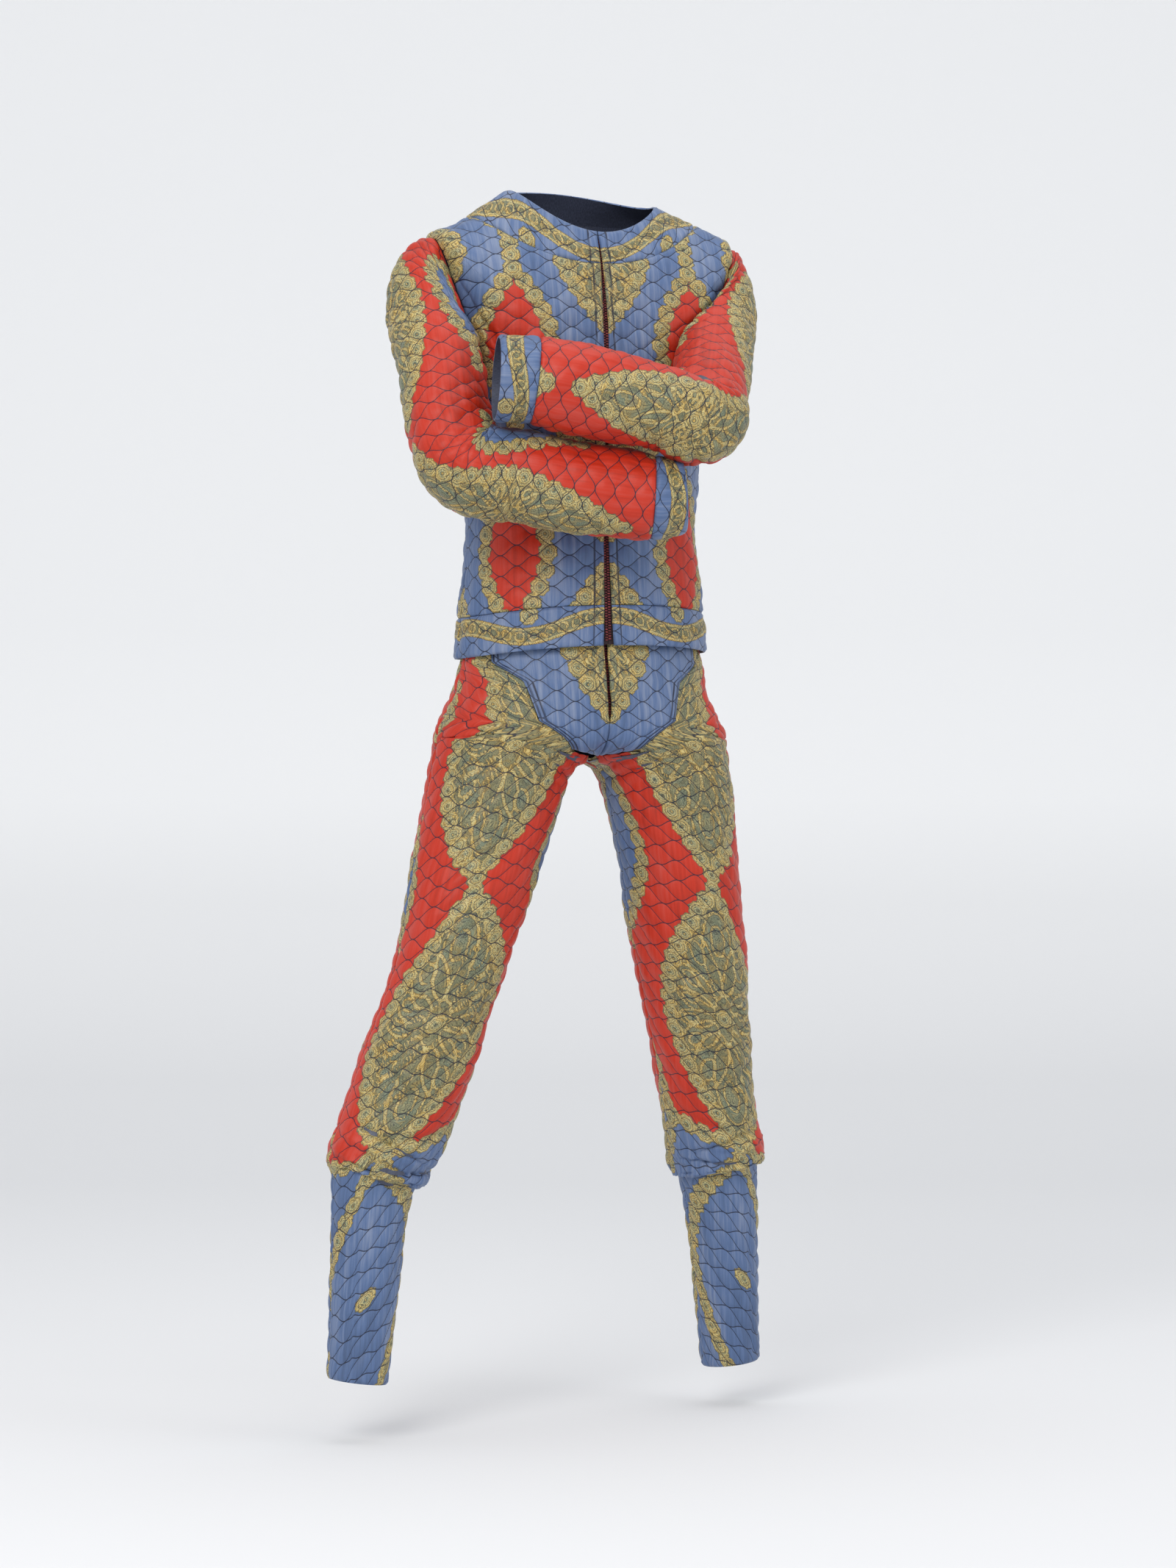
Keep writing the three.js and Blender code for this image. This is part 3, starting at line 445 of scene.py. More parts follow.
# ---------------------------------------------------------------- surfaces
def torso_at(station, deg):
    """Degrees run from the wearer's left (0) over the front (90), the right (180) and the back (270)."""
    row = row_at(TORSO, station)
    c, s = turn_parts(deg)
    power = 2 / row["square"]
    x = row["half"] * np.sign(c) * np.abs(c) ** power
    y = -np.where(s > 0, row["front"], row["back"]) * np.sign(s) * np.abs(s) ** power
    z_end = np.where(s > 0, row["z_front"], row["z_back"])
    z = row["z_side"] + (z_end - row["z_side"]) * s * s + row["tilt"] * x
    return np.stack([x, y, z], -1)


def jacket_at(station, deg):
    """The torso with the cloth's creases, pushed in or out level with the ground."""
    points = torso_at(station, deg)
    reach = np.hypot(points[..., 0], points[..., 1])
    points[..., :2] *= (1 + crease_height(JACKET_CREASES, station, deg % 360) / reach)[..., None]
    return points


def armhole_cut(side, down):
    """Degrees cut away at a share of the way down the armhole."""
    return row_at(ARMHOLES[side], down * ARMHOLE_STEPS)


def armhole_edge(side, deg):
    """The armhole's edge, by degrees round the sleeve."""
    turn = deg % 360
    down = np.where(turn <= 180, turn, 360 - turn) / 180
    station = SHOULDER_ROW + (UNDERARM_ROW - SHOULDER_ROW) * (1 - np.cos(np.pi * down)) / 2
    cuts = armhole_cut(side, down)
    cut = np.where(turn <= 180, cuts["front"], -cuts["back"])
    return torso_at(station, cut if side > 0 else 180 - cut)


def clear_of_torso(points, clear):
    """Moves points that are inside the jacket's body straight out of it, as an arm flattens against it."""
    low = np.full(points.shape[:-1], float(SHOULDER_ROW))
    high = np.full(points.shape[:-1], float(HEM_ROW))
    x, y, z = points[..., 0], points[..., 1], points[..., 2]
    for _ in range(SEARCH_STEPS):
        station = (low + high) / 2
        row = row_at(TORSO, station)
        depth = np.where(y < 0, row["front"], row["back"])
        power = row["square"] / 2
        c = np.sign(x) * np.abs(x / row["half"]) ** power
        s = -np.sign(y) * np.abs(y / depth) ** power
        skin = torso_at(station, np.degrees(np.arctan2(s, c)))
        above = skin[..., 2] > z
        low = np.where(above, station, low)
        high = np.where(above, high, station)
    here = np.hypot(x, y)
    least = np.hypot(skin[..., 0], skin[..., 1]) + clear
    grow = np.where((here < least) & (z < skin[..., 2] + 1), least / here, 1)
    moved = points.copy()
    moved[..., :2] *= grow[..., None]
    return moved


def sleeve_surface(side):
    """A tube swept through a sleeve's rings. Degrees: 0 on the outside of the bend, 90 to the front."""
    rows = SLEEVES[side]
    last = len(rows["x"]) - 1
    steps, nudge = 10, 0.05  # frames for each row, and the half step that a tangent is taken over

    def centre(station):
        row = row_at(rows, station)
        return np.stack([row["x"], row["y"], row["z"]], -1)

    outs, fronts = [], []
    out = np.array([0.0, 0.0, 1.0])
    for i in range(last * steps + 1):
        station = i / steps
        tangent = centre(min(last, station + nudge)) - centre(max(0, station - nudge))
        if i == 0:
            tangent = np.array([side, *SLEEVE_START])
        tangent = tangent / np.linalg.norm(tangent)
        out = out - tangent * (out @ tangent)
        out = out / np.linalg.norm(out)
        outs.append(out)
        fronts.append(np.cross(out, tangent) if side < 0 else np.cross(tangent, out))
    outs, fronts = np.array(outs), np.array(fronts)

    def between(frames, station):
        k = np.clip(np.asarray(station) * steps, 0, len(frames) - 1.001)
        i = np.floor(k).astype(int)
        t = (k - i)[..., None]
        v = frames[i] * (1 - t) + frames[i + 1] * t
        return v / np.linalg.norm(v, axis=-1, keepdims=True)

    def ring(station, deg):
        row = row_at(rows, station)
        bulge = crease_height(SLEEVE_CREASES, station, deg)
        c, s = turn_parts(deg)
        return (
            centre(station)
            + between(outs, station) * ((row["rise"] + bulge) * c)[..., None]
            + between(fronts, station) * ((row["deep"] + bulge) * s)[..., None]
        )

    def at(station, deg):
        """The cap leads from the armhole's edge to the ring at its foot; below it the rings are plain."""
        station, deg = np.broadcast_arrays(np.asarray(station, float), np.asarray(deg, float))
        upper, front = (np.maximum(0, part) for part in turn_parts(deg))
        span = CAP_ROWS + CAP_FRONT_ROWS * front
        share = np.clip(station / span, 0, 1)
        clear = SLEEVE_CLEAR * np.clip(station / CAP_LIFT_ROWS, 0, 1) + ARM_CLEAR * soft_step(share)
        below = clear_of_torso(ring(station, deg), clear)
        edge = armhole_edge(side, deg)
        edge[..., 0] += side * SEAM_GAP * (1 + UNDERARM_GAPS * np.maximum(0, -np.cos(np.radians(deg))))
        target_row = station + (span - station) * front
        target = clear_of_torso(ring(target_row, deg), SLEEVE_CLEAR + ARM_CLEAR)
        blend = soft_step(share) + (share - soft_step(share)) * front
        cap = edge + (target - edge) * blend[..., None]
        puff = CAP_PUFF[side] * np.sin(np.pi * share) * upper**1.5
        cap[..., 0] += side * puff * PUFF_OUT
        cap[..., 2] += puff * PUFF_UP
        cap = clear_of_torso(cap, clear)
        return np.where((share >= 1)[..., None], below, cap)

    return at


def middle_x(z):
    """The x of the trousers' middle line at a height."""
    return FORK_SHIFT * soft_step((FORK_SHIFT_TOP - z) / FORK_SHIFT_LONG)


class Leg:
    """Half of the trousers. Degrees: 0 at the outer seam, 90 in front, 180 inside the leg, 270 behind."""

    def __init__(self, side):
        self.side = side
        self.rows = LEGS[side]

    def at(self, station, deg):
        row = row_at(self.rows, station)
        bulge = crease_height(LEG_CREASES[self.side], station, deg % 360)
        c, s = turn_parts(deg)
        lean = np.radians(row["lean"])
        along = (row["across"] + bulge) * c
        x = row["x"] + along * np.cos(lean)
        y = row["y"] - (np.where(s > 0, row["front"], row["back"]) + bulge) * s
        z = row["z"] + along * np.sin(lean)
        return np.stack([self.side * (x + EDGE_CLEAR) + middle_x(z), y, z], -1)

    def across(self, station):
        row = row_at(self.rows, station)
        return row["across"] * np.cos(np.radians(row["lean"]))

    def inner(self, station):
        """Where the ring meets x = 0, as an angle from the outer seam; 180 below the fork."""
        share = np.clip(row_at(self.rows, station)["x"] / self.across(station), 0, 1)
        return np.where(np.asarray(station) >= FORK_ROW, 180, 180 - np.degrees(np.arccos(share)))

    def seam(self, station):
        """Half of a seam's gap, in degrees."""
        return degrees_for(EDGE_CLEAR, row_at(self.rows, station)["across"])

    def yoke(self, station):
        """The angle at which the ring meets the edge of the front yoke."""
        row = row_at(self.rows, station)
        half = np.interp(row["z"], YOKE_EDGE["z"], YOKE_EDGE["half"])
        return np.degrees(np.arccos(np.clip((half - row["x"]) / self.across(station), -1, 1)))

    def inseam(self, station):
        """The edge inside the leg, which meets the other leg's above the fork and parts from itself below."""
        return self.inner(station) - self.seam(station) * np.clip((station - FORK_ROW) * 4 + 3, 0, 1)

    def front_span(self, station):
        beside_yoke = self.yoke(station) - self.seam(station) * YOKE_GAPS
        return self.seam(station), np.where(station < YOKE_END_ROW, beside_yoke, self.inseam(station))

    def back_span(self, station):
        return -self.seam(station), -self.inseam(station)

    def yoke_span(self, station):
        return self.yoke(station) + self.seam(station) * YOKE_GAPS, self.inner(station)

    def open_fly(self, points, stations, angles, u):
        """Parts the yoke at the middle, above the foot of the slit."""
        opened = np.clip((points[..., 2] - FLY_BOTTOM) / FLY_OPENING, 0, 1)
        moved = points.copy()
        moved[..., 0] += self.side * soft_step(1 - np.abs(u) / FLY_BESIDE) * FLY_GAP / 2 * opened
        return moved


# ---------------------------------------------------------------- cutting the cloth
def whole_gaps(length, step):
    """The number of gaps about a step wide in a length, as a multiple of the lining's stride."""
    return max(1, round(length / step / INNER_STRIDE)) * INNER_STRIDE


def even_stations(at, start, end, lines, step):
    """Rows a step apart along the longest of the given lines, and how far along each row lies."""
    fine = np.linspace(start, end, ROW_SAMPLES)
    lines = np.atleast_1d(np.asarray(lines, float))
    points = at(np.repeat(fine[:, None], len(lines), axis=1), np.repeat(lines[None], len(fine), axis=0))
    longest = np.linalg.norm(np.diff(points, axis=0), axis=-1).max(axis=1)
    lengths = np.concatenate([[0], np.cumsum(longest)])
    along = np.linspace(0, lengths[-1], whole_gaps(lengths[-1], step) + 1)
    return np.interp(along, lengths, fine), along


def even_columns(at, stations, starts, ends, gaps, zero):
    """Angles across each row, even by length on the cloth, and the length from the zero line to each."""
    degs = starts[:, None] + (ends - starts)[:, None] * np.linspace(0, 1, COLUMN_SAMPLES)
    lengths = lengths_along(at(np.broadcast_to(stations[:, None], degs.shape), degs), axis=1)
    angles, across = [], []
    for row in range(len(stations)):
        even = np.linspace(0, lengths[row, -1], gaps + 1)
        angles.append(np.interp(even, lengths[row], degs[row]))
        order = np.argsort(degs[row])
        across.append(even - np.interp(zero[row], degs[row][order], lengths[row][order]))
    return np.array(angles), np.array(across)


def cut_grid(at, stations, span, zero, step):
    """The even columns of one piece, with as many gaps as its widest row needs."""
    starts, ends = span(stations)
    widths = []
    for row in range(0, len(stations), max(1, len(stations) // WIDTHS_TRIED)):
        degs = np.linspace(starts[row], ends[row], WIDTH_SAMPLES)
        line = at(np.full(degs.shape, stations[row]), degs)
        widths.append(np.linalg.norm(np.diff(line, axis=0), axis=-1).sum())
    zeros = np.broadcast_to(np.asarray(zero(stations) if callable(zero) else zero, float), stations.shape)
    return even_columns(at, stations, starts, ends, whole_gaps(max(widths), step), zeros)


def grid_normals(points):
    """Unit normals of a grid of points."""
    normals = np.cross(np.gradient(points, axis=0), np.gradient(points, axis=1))
    return normals / np.maximum(np.linalg.norm(normals, axis=-1, keepdims=True), 1e-9)


def outward_normals(at, points, station):
    """A piece's normals, turned away from the inside of the ring at its middle row."""
    normals = grid_normals(points)
    middle = (points.shape[0] // 2, points.shape[1] // 2)
    degs = np.linspace(0, 330, 12)
    inside = at(np.full(degs.shape, float(station)), degs).mean(axis=0)
    return -normals if normals[middle] @ (points[middle] - inside) < 0 else normals


def grid_area(points):
    """Area of the cloth, in square millimetres."""
    a, b, c, d = points[:-1, :-1], points[1:, :-1], points[1:, 1:], points[:-1, 1:]
    halves = np.linalg.norm(np.cross(b - a, c - a), axis=-1) + np.linalg.norm(np.cross(c - a, d - a), axis=-1)
    return halves.sum() / 2


def quilting(u, v, high):
    """Height of the pads between the staggered wavy lines of stitching."""
    wave = WAVE_HIGH * np.cos(2 * np.pi * u / PAD_WIDE)
    half = PAD_LONG / 2
    even_below = np.floor((v - wave) / PAD_LONG) * PAD_LONG + wave
    odd_below = np.floor((v - half + wave) / PAD_LONG) * PAD_LONG + half - wave
    below = np.maximum(even_below, odd_below)
    above = np.minimum(even_below, odd_below) + PAD_LONG
    gap = np.maximum(above - below, 0.01)
    share = np.clip((v - below) / gap, 0, 1)
    crown = np.clip(1 - (2 * share - 1) ** 2, 0, 1) ** 0.75
    plump = 0.86 + 0.14 * np.sin(u / 31.0 + 1.3) * np.sin(v / 43.0)
    return high * crown * np.clip(gap / PAD_LONG, 0, 1) ** 0.7 * plump


def drape(u, v):
    """Slow unevenness of cloth that hangs, in millimetres."""
    return sum(
        height * np.sin(2 * np.pi * (u / across + v / along) + phase)
        for across, along, phase, height in DRAPE_WAVES
    )


def round_hip(points, stations, angles, u):
    """Lets the outer hip relax, where level rows meet the rows of the slanted leg."""
    middle, half = sum(HIP_ROWS) / 2, (HIP_ROWS[1] - HIP_ROWS[0]) / 2
    near = soft_step(HIP_FULL_ROWS * (1 - np.abs(stations - middle) / half))[:, None]
    turn = np.abs(wrap(angles, 360))
    share = (near * soft_step(HIP_FULL_TURN * (1 - turn / HIP_TURN)))[1:-1, :, None]
    for _ in range(HIP_ROUNDS):
        points[1:-1] += HIP_PULL * share * (points[:-2] + points[2:] - 2 * points[1:-1])
    return points


# ---------------------------------------------------------------- the print: a half-drop lattice of motifs
ROSETTE_STEP = 19.5  # along the chains, in millimetres
BEAD_STEP, BEAD_RADIUS = 16.0, 5.2  # the rings along a ribbon
RIBBON_EDGE = 11  # where a ribbon's edge lies among its dyes' stops
TIP_CLEAR = 8  # between a cut-off motif and the second ground below it
NO_END = 1e6
PETAL_TILTS = (-72, -44, -20, 0, 20, 44, 72)
MOTIF_COLUMNS = "u v apart_u apart_v wide high"
LATTICE_JACKET = {
    "lozenge": table(MOTIF_COLUMNS, (104, 142, 208, 236, 40, 92)),
    "medallion": table(MOTIF_COLUMNS, (0, 24, 416, 236, 50, 96), (208, 24, 416, 236, 46, 88)),
}
LATTICE_SLEEVE = {
    "lozenge": table(MOTIF_COLUMNS, (62, 432, 264, 320, 34, 100)),
    "medallion": table(MOTIF_COLUMNS, (-44, 150, 264, 320, 44, 140)),
}
LATTICE_TROUSERS = {
    "lozenge": table(MOTIF_COLUMNS, (130, 372, 260, 326, 46, 112)),
    "medallion": table(MOTIF_COLUMNS, (0, 209, 260, 326, 66, 154)),
    "end": 690,  # below this the second ground takes over, where the leg is gathered
}
LATTICE_YOKE = {"medallion": table(MOTIF_COLUMNS, (0, 46, 900, 900, 46, 92))}
RIBBON_COLUMNS = "v apart_u swing wide drop"
RIBBON_NECK = {"ribbon": table(RIBBON_COLUMNS, (25, 176, 9, 10, 15))}
RIBBON_HEM = {"ribbon": table(RIBBON_COLUMNS, (21, 172, -9, 10, 14))}
RIBBON_CUFF = {"ribbon": table(RIBBON_COLUMNS, (25, 150, 5, 10, 13))}


def ogee_half(share, wide):
    """Half width of a pointed lozenge, from its middle (0) to a tip (1)."""
    return wide * (1 - share**1.7)


def inside_ogee(du, dv, wide, high):
    """How far inside the lozenge a place is, in millimetres; negative outside."""
    share = np.abs(dv) / high
    slope = 1.7 * share**0.7 * wide / high
    return (ogee_half(share, wide) - np.abs(du)) / np.sqrt(1 + slope**2)


def ogee_chain(wide, high):
    """Centres of the rosettes round one lozenge, in one quarter of it."""
    share = np.linspace(0, 1, 400)
    edge = np.stack([ogee_half(share, wide), share * high], -1)
    length = lengths_along(edge)
    even = np.linspace(0, length[-1], max(2, round(length[-1] / ROSETTE_STEP)) + 1)
    return np.stack([np.interp(even, length, edge[:, k]) for k in (0, 1)], -1)


def from_ellipse(x, y, a, b):
    """Rough distance outside an ellipse, in millimetres; negative inside."""
    k = np.sqrt((x / a) ** 2 + (y / b) ** 2)
    return k * (k - 1) / np.maximum(np.sqrt((x / a**2) ** 2 + (y / b**2) ** 2), 1e-6)


def rosette_at(x, y, petals=8):
    """Distance from a rosette's centre, drawn in between its petals."""
    far = np.hypot(x, y)
    return far * (1 + 0.07 * np.cos(petals * np.arctan2(y, x)))


def palmette(du, dv, wide, high):
    """Distance to the outlines of two fans of petals that spring from the middle, one up and one down."""
    nearest = np.full(du.shape, 30.0)
    for way in (1, -1):
        for tilt in PETAL_TILTS:
            c, s = math.cos(math.radians(tilt)), math.sin(math.radians(tilt))
            along, aside = du * s + way * dv * c, du * c - way * dv * s
            reach = 0.84 / math.hypot(s / wide, c / high)
            thick = 3 + 0.13 * reach
            petal = from_ellipse(along - 0.60 * reach, aside, 0.38 * reach, thick)
            eye = from_ellipse(along - 0.72 * reach, aside, 0.14 * reach, thick * 0.45)
            nearest = np.minimum(nearest, np.minimum(np.abs(petal), np.abs(eye)))
    return nearest


def print_fields(u, v, lattice):
    """What the dyes follow, in millimetres: the way into grounds and medallions, and off the other motifs."""
    fields = {
        "zone": np.full(u.shape, -60.0),
        "medal": np.full(u.shape, -60.0),
        "rosette": np.full(u.shape, 60.0),
        "outline": np.full(u.shape, 30.0),
        "ribbon": np.full(u.shape, 60.0),
    }

    def bloom(x, y):
        fields["rosette"] = np.minimum(fields["rosette"], rosette_at(x, y))

    end = lattice.get("end", NO_END)
    for kind in ("lozenge", "medallion"):
        for u0, v0, apart_u, apart_v, wide, high in zip(*lattice.get(kind, {}).values()):
            du, dv = wrap(u - u0, apart_u), wrap(v - v0, apart_v)
            depth = np.minimum(inside_ogee(du, dv, wide, high), end - TIP_CLEAR - v)
            for a, b in ogee_chain(wide, high):
                if v0 + b < end:
                    bloom(np.abs(du) - a, np.abs(dv) - b)
            if kind == "lozenge":
                fields["zone"] = np.maximum(fields["zone"], depth)
                bloom(du, np.abs(dv) - high - 0.9 * ROSETTE_STEP)
            else:
                fields["medal"] = np.maximum(fields["medal"], depth)
                fields["outline"] = np.where(depth > 0, palmette(du, dv, wide, high), fields["outline"])
                bloom(du, dv)
    fields["zone"] = np.maximum(fields["zone"], v - end)
    if end < NO_END:
        bloom(wrap(u, ROSETTE_STEP), v - end)
    for v0, apart_u, swing, wide, drop in zip(*lattice.get("ribbon", {}).values()):
        turn = 2 * np.pi * u / apart_u
        slope = 2 * np.pi * swing / apart_u * np.sin(turn)
        away = np.abs(v - v0 - swing * np.cos(turn)) / np.sqrt(1 + slope**2)
        fields["ribbon"] = away * RIBBON_EDGE / wide
        bead = np.abs(np.hypot(wrap(u, BEAD_STEP), away) - BEAD_RADIUS)
        fields["outline"] = np.where(away < 0.75 * wide, bead, fields["outline"])
        fields["medal"] = np.where(away < 0.6 * wide, 12.0, fields["medal"])
        bloom(wrap(u - apart_u / 2, apart_u), v - v0 - math.copysign(drop, swing))
    return fields


# ---------------------------------------------------------------- meshes
def link_mesh(name, points, faces):
    """A linked object with a mesh of points in metres."""
    mesh = bpy.data.meshes.new(name)
    mesh.from_pydata(points, [], faces)
    obj = bpy.data.objects.new(name, mesh)
    bpy.context.scene.collection.objects.link(obj)
    return obj


def sew_piece(node, at, rows, span, zero, layout, slot_name, look, *, lift=0.0, reshape=None, cloth_map=None,
              sewing=None, pulls=None, own_length=0.0):
    """Cuts, pads and hems one piece of cloth and lets it stand for its CAD node."""
    stations, along = rows
    angles, u = cut_grid(at, stations, span, zero, look.cloth_step)
    base = at(np.broadcast_to(stations[:, None], angles.shape), angles)
    if reshape is not None:
        base = reshape(base, stations, angles, u)
    down, over = lengths_along(base), lengths_along(base, axis=1)
    v = along[:, None] * (1 - own_length) + down * own_length
    normals = outward_normals(at, base, stations[len(stations) // 2])
    if cloth_map is not None:
        u, v = cloth_map(base, u, v)
    from_ends = np.minimum(down, down[-1:] - down)
    inside = np.minimum(from_ends, np.minimum(over, over[:, -1:] - over))

    folds = drape(u, v)
    if pulls is not None:
        folds = folds + look.fold_depth * crease_height(pulls, stations[:, None], angles % 360)
    base = base + normals * (folds * soft_step(inside / FOLD_EDGE))[..., None]
    folded = grid_normals(base)
    normals = folded * np.sign((folded * normals).sum(-1, keepdims=True))
    height = quilting(u, v, look.pad_height) * soft_step(inside / EDGE_FLAT)
    height = height - EDGE_TUCK * (1 - soft_step(inside / EDGE_TURN))
    stitch = np.full(u.shape, NO_THREAD) if sewing is None else sewing(u, over)
    height = height * np.clip(stitch / THREAD_REACH, THREAD_PRESS, 1) + lift

    outer = base + normals * height[..., None]
    inner = (base - normals * WALL)[::INNER_STRIDE, ::INNER_STRIDE]
    fields = {**print_fields(u, v, layout), "stitch": stitch}
    materials = (print_cloth(slot_name, look), lining_material(look))
    obj = wall_object("cloth_" + node, outer, inner, normals, (u, v), fields, materials)
    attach(obj, "root")
    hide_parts(node)
    area = grid_area(base) * MM * MM


def grid_quads(ids, turned):
    """The four corners of each cell of a grid of vertex numbers."""
    corners = [ids[:-1, :-1], ids[1:, :-1], ids[1:, 1:], ids[:-1, 1:]]
    return np.stack(corners[::-1] if turned else corners, -1).reshape(-1, 4)


def rim_fans(outer_line, inner_line, turned):
    """Triangles that fan from a coarse line to the fine one beside it."""
    triangles = []
    for k in range(len(inner_line) - 1):
        first, last = k * INNER_STRIDE, (k + 1) * INNER_STRIDE
        fan = [(inner_line[k], outer_line[m], outer_line[m + 1]) for m in range(first, last)]
        fan.append((inner_line[k], outer_line[last], inner_line[k + 1]))
        triangles.extend(triangle[::-1] if turned else triangle for triangle in fan)
    return triangles


def wall_object(name, outer, inner, normals, uv, fields, materials):
    """A closed wall: a fine outside, a coarse plain lining, and a rim that fans between them."""
    ids = np.arange(outer[..., 0].size).reshape(outer.shape[:2])
    inner_ids = ids.size + np.arange(inner[..., 0].size).reshape(inner.shape[:2])
    i, j = (size // 2 for size in ids.shape)
    a, b, d = outer[i, j], outer[i + 1, j], outer[i, j + 1]
    turned = np.cross(b - a, d - a) @ normals[i, j] < 0
    faces = grid_quads(ids, turned).tolist()
    outside = len(faces)
    faces += grid_quads(inner_ids, not turned).tolist()
    quads = len(faces)
    for line, flip in (((0,), turned), ((-1,), not turned), ((..., 0), not turned), ((..., -1), turned)):
        faces += rim_fans(ids[line].tolist(), inner_ids[line].tolist(), flip)

    points = np.concatenate([outer.reshape(-1, 3), inner.reshape(-1, 3)])
    obj = link_mesh(name, (points * MM).tolist(), faces)
    mesh = obj.data
    for material in materials:
        mesh.materials.append(material)
    slots = np.zeros(len(faces), np.int32)
    slots[outside:quads] = 1
    mesh.polygons.foreach_set("material_index", slots)
    mesh.polygons.foreach_set("use_smooth", np.ones(len(faces), bool))

    def on_wall(grid):
        """A grid's values at the vertices of the outside and then of the lining."""
        return np.concatenate([grid.reshape(-1), grid[::INNER_STRIDE, ::INNER_STRIDE].reshape(-1)])

    loops = np.empty(len(mesh.loops), np.int32)
    mesh.loops.foreach_get("vertex_index", loops)
    places = np.stack([on_wall(part) for part in uv], -1)
    mesh.uv_layers.new(name="cloth").data.foreach_set("uv", (places[loops] * MM).astype(np.float32).ravel())
    for field, values in fields.items():
        attribute = mesh.attributes.new(field, "FLOAT", "POINT")
        attribute.data.foreach_set("value", on_wall(values).astype(np.float32))
    mesh.set_sharp_from_angle(angle=math.radians(60))
    return obj


# ---------------------------------------------------------------- materials
def colour(hex_code):
    """sRGB hex to the linear colour that shaders take."""
    parts = [int(hex_code[i:i + 2], 16) / 255 for i in (1, 3, 5)]
    return tuple(c / 12.92 if c <= 0.04045 else ((c + 0.055) / 1.055) ** 2.4 for c in parts) + (1.0,)


def new_material(name):
    """A material with an empty node tree, and the tree."""
    material = bpy.data.materials.new(name)
    material.use_nodes = True
    material.node_tree.nodes.clear()
    return material, material.node_tree


def add(tree, kind, inputs=None, **settings):
    """Adds a shader node, sets its properties, and sets or links its inputs."""
    node = tree.nodes.new("ShaderNode" + kind)
    for name, value in settings.items():
        setattr(node, name, value)
    for key, value in (inputs or {}).items():
        if isinstance(value, bpy.types.Node):
            value = value.outputs[0]
        if isinstance(value, bpy.types.NodeSocket):
            tree.links.new(value, node.inputs[key])
        else:
            node.inputs[key].default_value = value
    return node


def set_ramp(node, stops, reach=1.0, interpolation="LINEAR"):
    """Colour stops as (place, colour, opacity), with places from 0 to the reach."""
    ramp = node.color_ramp
    ramp.interpolation = interpolation
    while len(ramp.elements) > 1:
        ramp.elements.remove(ramp.elements[-1])
    for i, (place, shade, opacity) in enumerate(stops):
        element = ramp.elements[0] if i == 0 else ramp.elements.new(place / reach)
        element.position = place / reach
        element.color = (*tuple(shade)[:3], opacity)


def dyed(stops, look):
    """The same stops with each dye's name turned to its colour."""
    return tuple((place, getattr(look, name), opacity) for place, name, opacity in stops)


def shades(dye, deep, worn):
    """A dye where it took deeply, as it is, and where wear has let the pale cotton through."""
    plain = tuple(dye)[:3]
    return tuple(c * deep for c in plain), plain, tuple(c + (BARE_COTTON - c) * worn for c in plain)


BARE_COTTON = 0.8  # how pale the undyed cotton is
# By slot: the material's name, the dye of its ground and the dye of its second ground.
CLOTHS = {
    "blue_cloth": ("printed cotton satin, blue ground", "blue", "red"),
    "red_cloth": ("printed cotton satin, red ground", "red", "blue"),
    "olive_cloth": ("printed cotton satin, red ground with large medallions", "red", "blue"),
}
GROUND_WEAR = {"blue": (0.62, 0.16), "red": (0.62, 0.035)}  # how deep and how worn a ground gets
STREAK_STOPS = (0.33, 0.49, 0.66)

# The dyes of each motif by distance in millimetres, with their opacity.
ROSETTE_STOPS = (
    (0.0, "cream", 1), (1.3, "gold", 1), (1.9, "ink", 1), (2.5, "leaf", 1), (3.9, "cream", 1),
    (4.7, "ink", 1), (5.3, "cream", 1), (6.7, "gold", 1), (7.3, "ink", 0.9), (7.9, "cream", 1),
    (9.6, "gold", 1), (10.2, "olive", 1), (10.8, "ink", 0.9), (11.3, "ink", 0),
)
MEDALLION_STOPS = (
    (0.0, "ink", 0), (0.3, "ink", 0.9), (1.1, "cream", 1), (3.2, "gold", 1), (3.9, "ink", 1),
    (4.8, "leaf", 1), (8.0, "olive", 1), (8.8, "ink", 0.9), (9.8, "straw", 1), (11.5, "olive", 1),
    (20.0, "leaf", 1), (40.0, "olive", 1),
)
OUTLINE_STOPS = (
    (0.0, "cream", 1), (1.2, "gold", 1), (1.6, "ink", 0.9), (2.4, "ink", 0), (4.0, "ink", 0),
    (4.5, "ink", 0.75), (5.1, "ink", 0), (6.9, "straw", 0), (7.5, "straw", 0.7), (8.1, "straw", 0),
    (9.1, "ink", 0), (9.6, "ink", 0.65), (10.2, "ink", 0),
)
RIBBON_STOPS = (
    (0.0, "olive", 1), (5.6, "leaf", 1), (6.2, "ink", 1), (6.9, "cream", 1), (9.6, "gold", 1),
    (10.4, "ink", 0.9), (11.2, "ink", 0),
)
# From the lowest dye to the top one: field, stops, their reach, and how far the filigree shakes them.
MOTIF_LAYERS = (
    ("ribbon", RIBBON_STOPS, 12.0, 0.8),
    ("medal", MEDALLION_STOPS, 42.0, 0.9),
    ("outline", OUTLINE_STOPS, 12.0, 0.5),
    ("rosette", ROSETTE_STOPS, 12.0, 0.7),
)
BLOOM_STOPS = ((0.0, "olive", 1), (0.3, "straw", 1), (0.5, "leaf", 1), (0.7, "gold", 1))


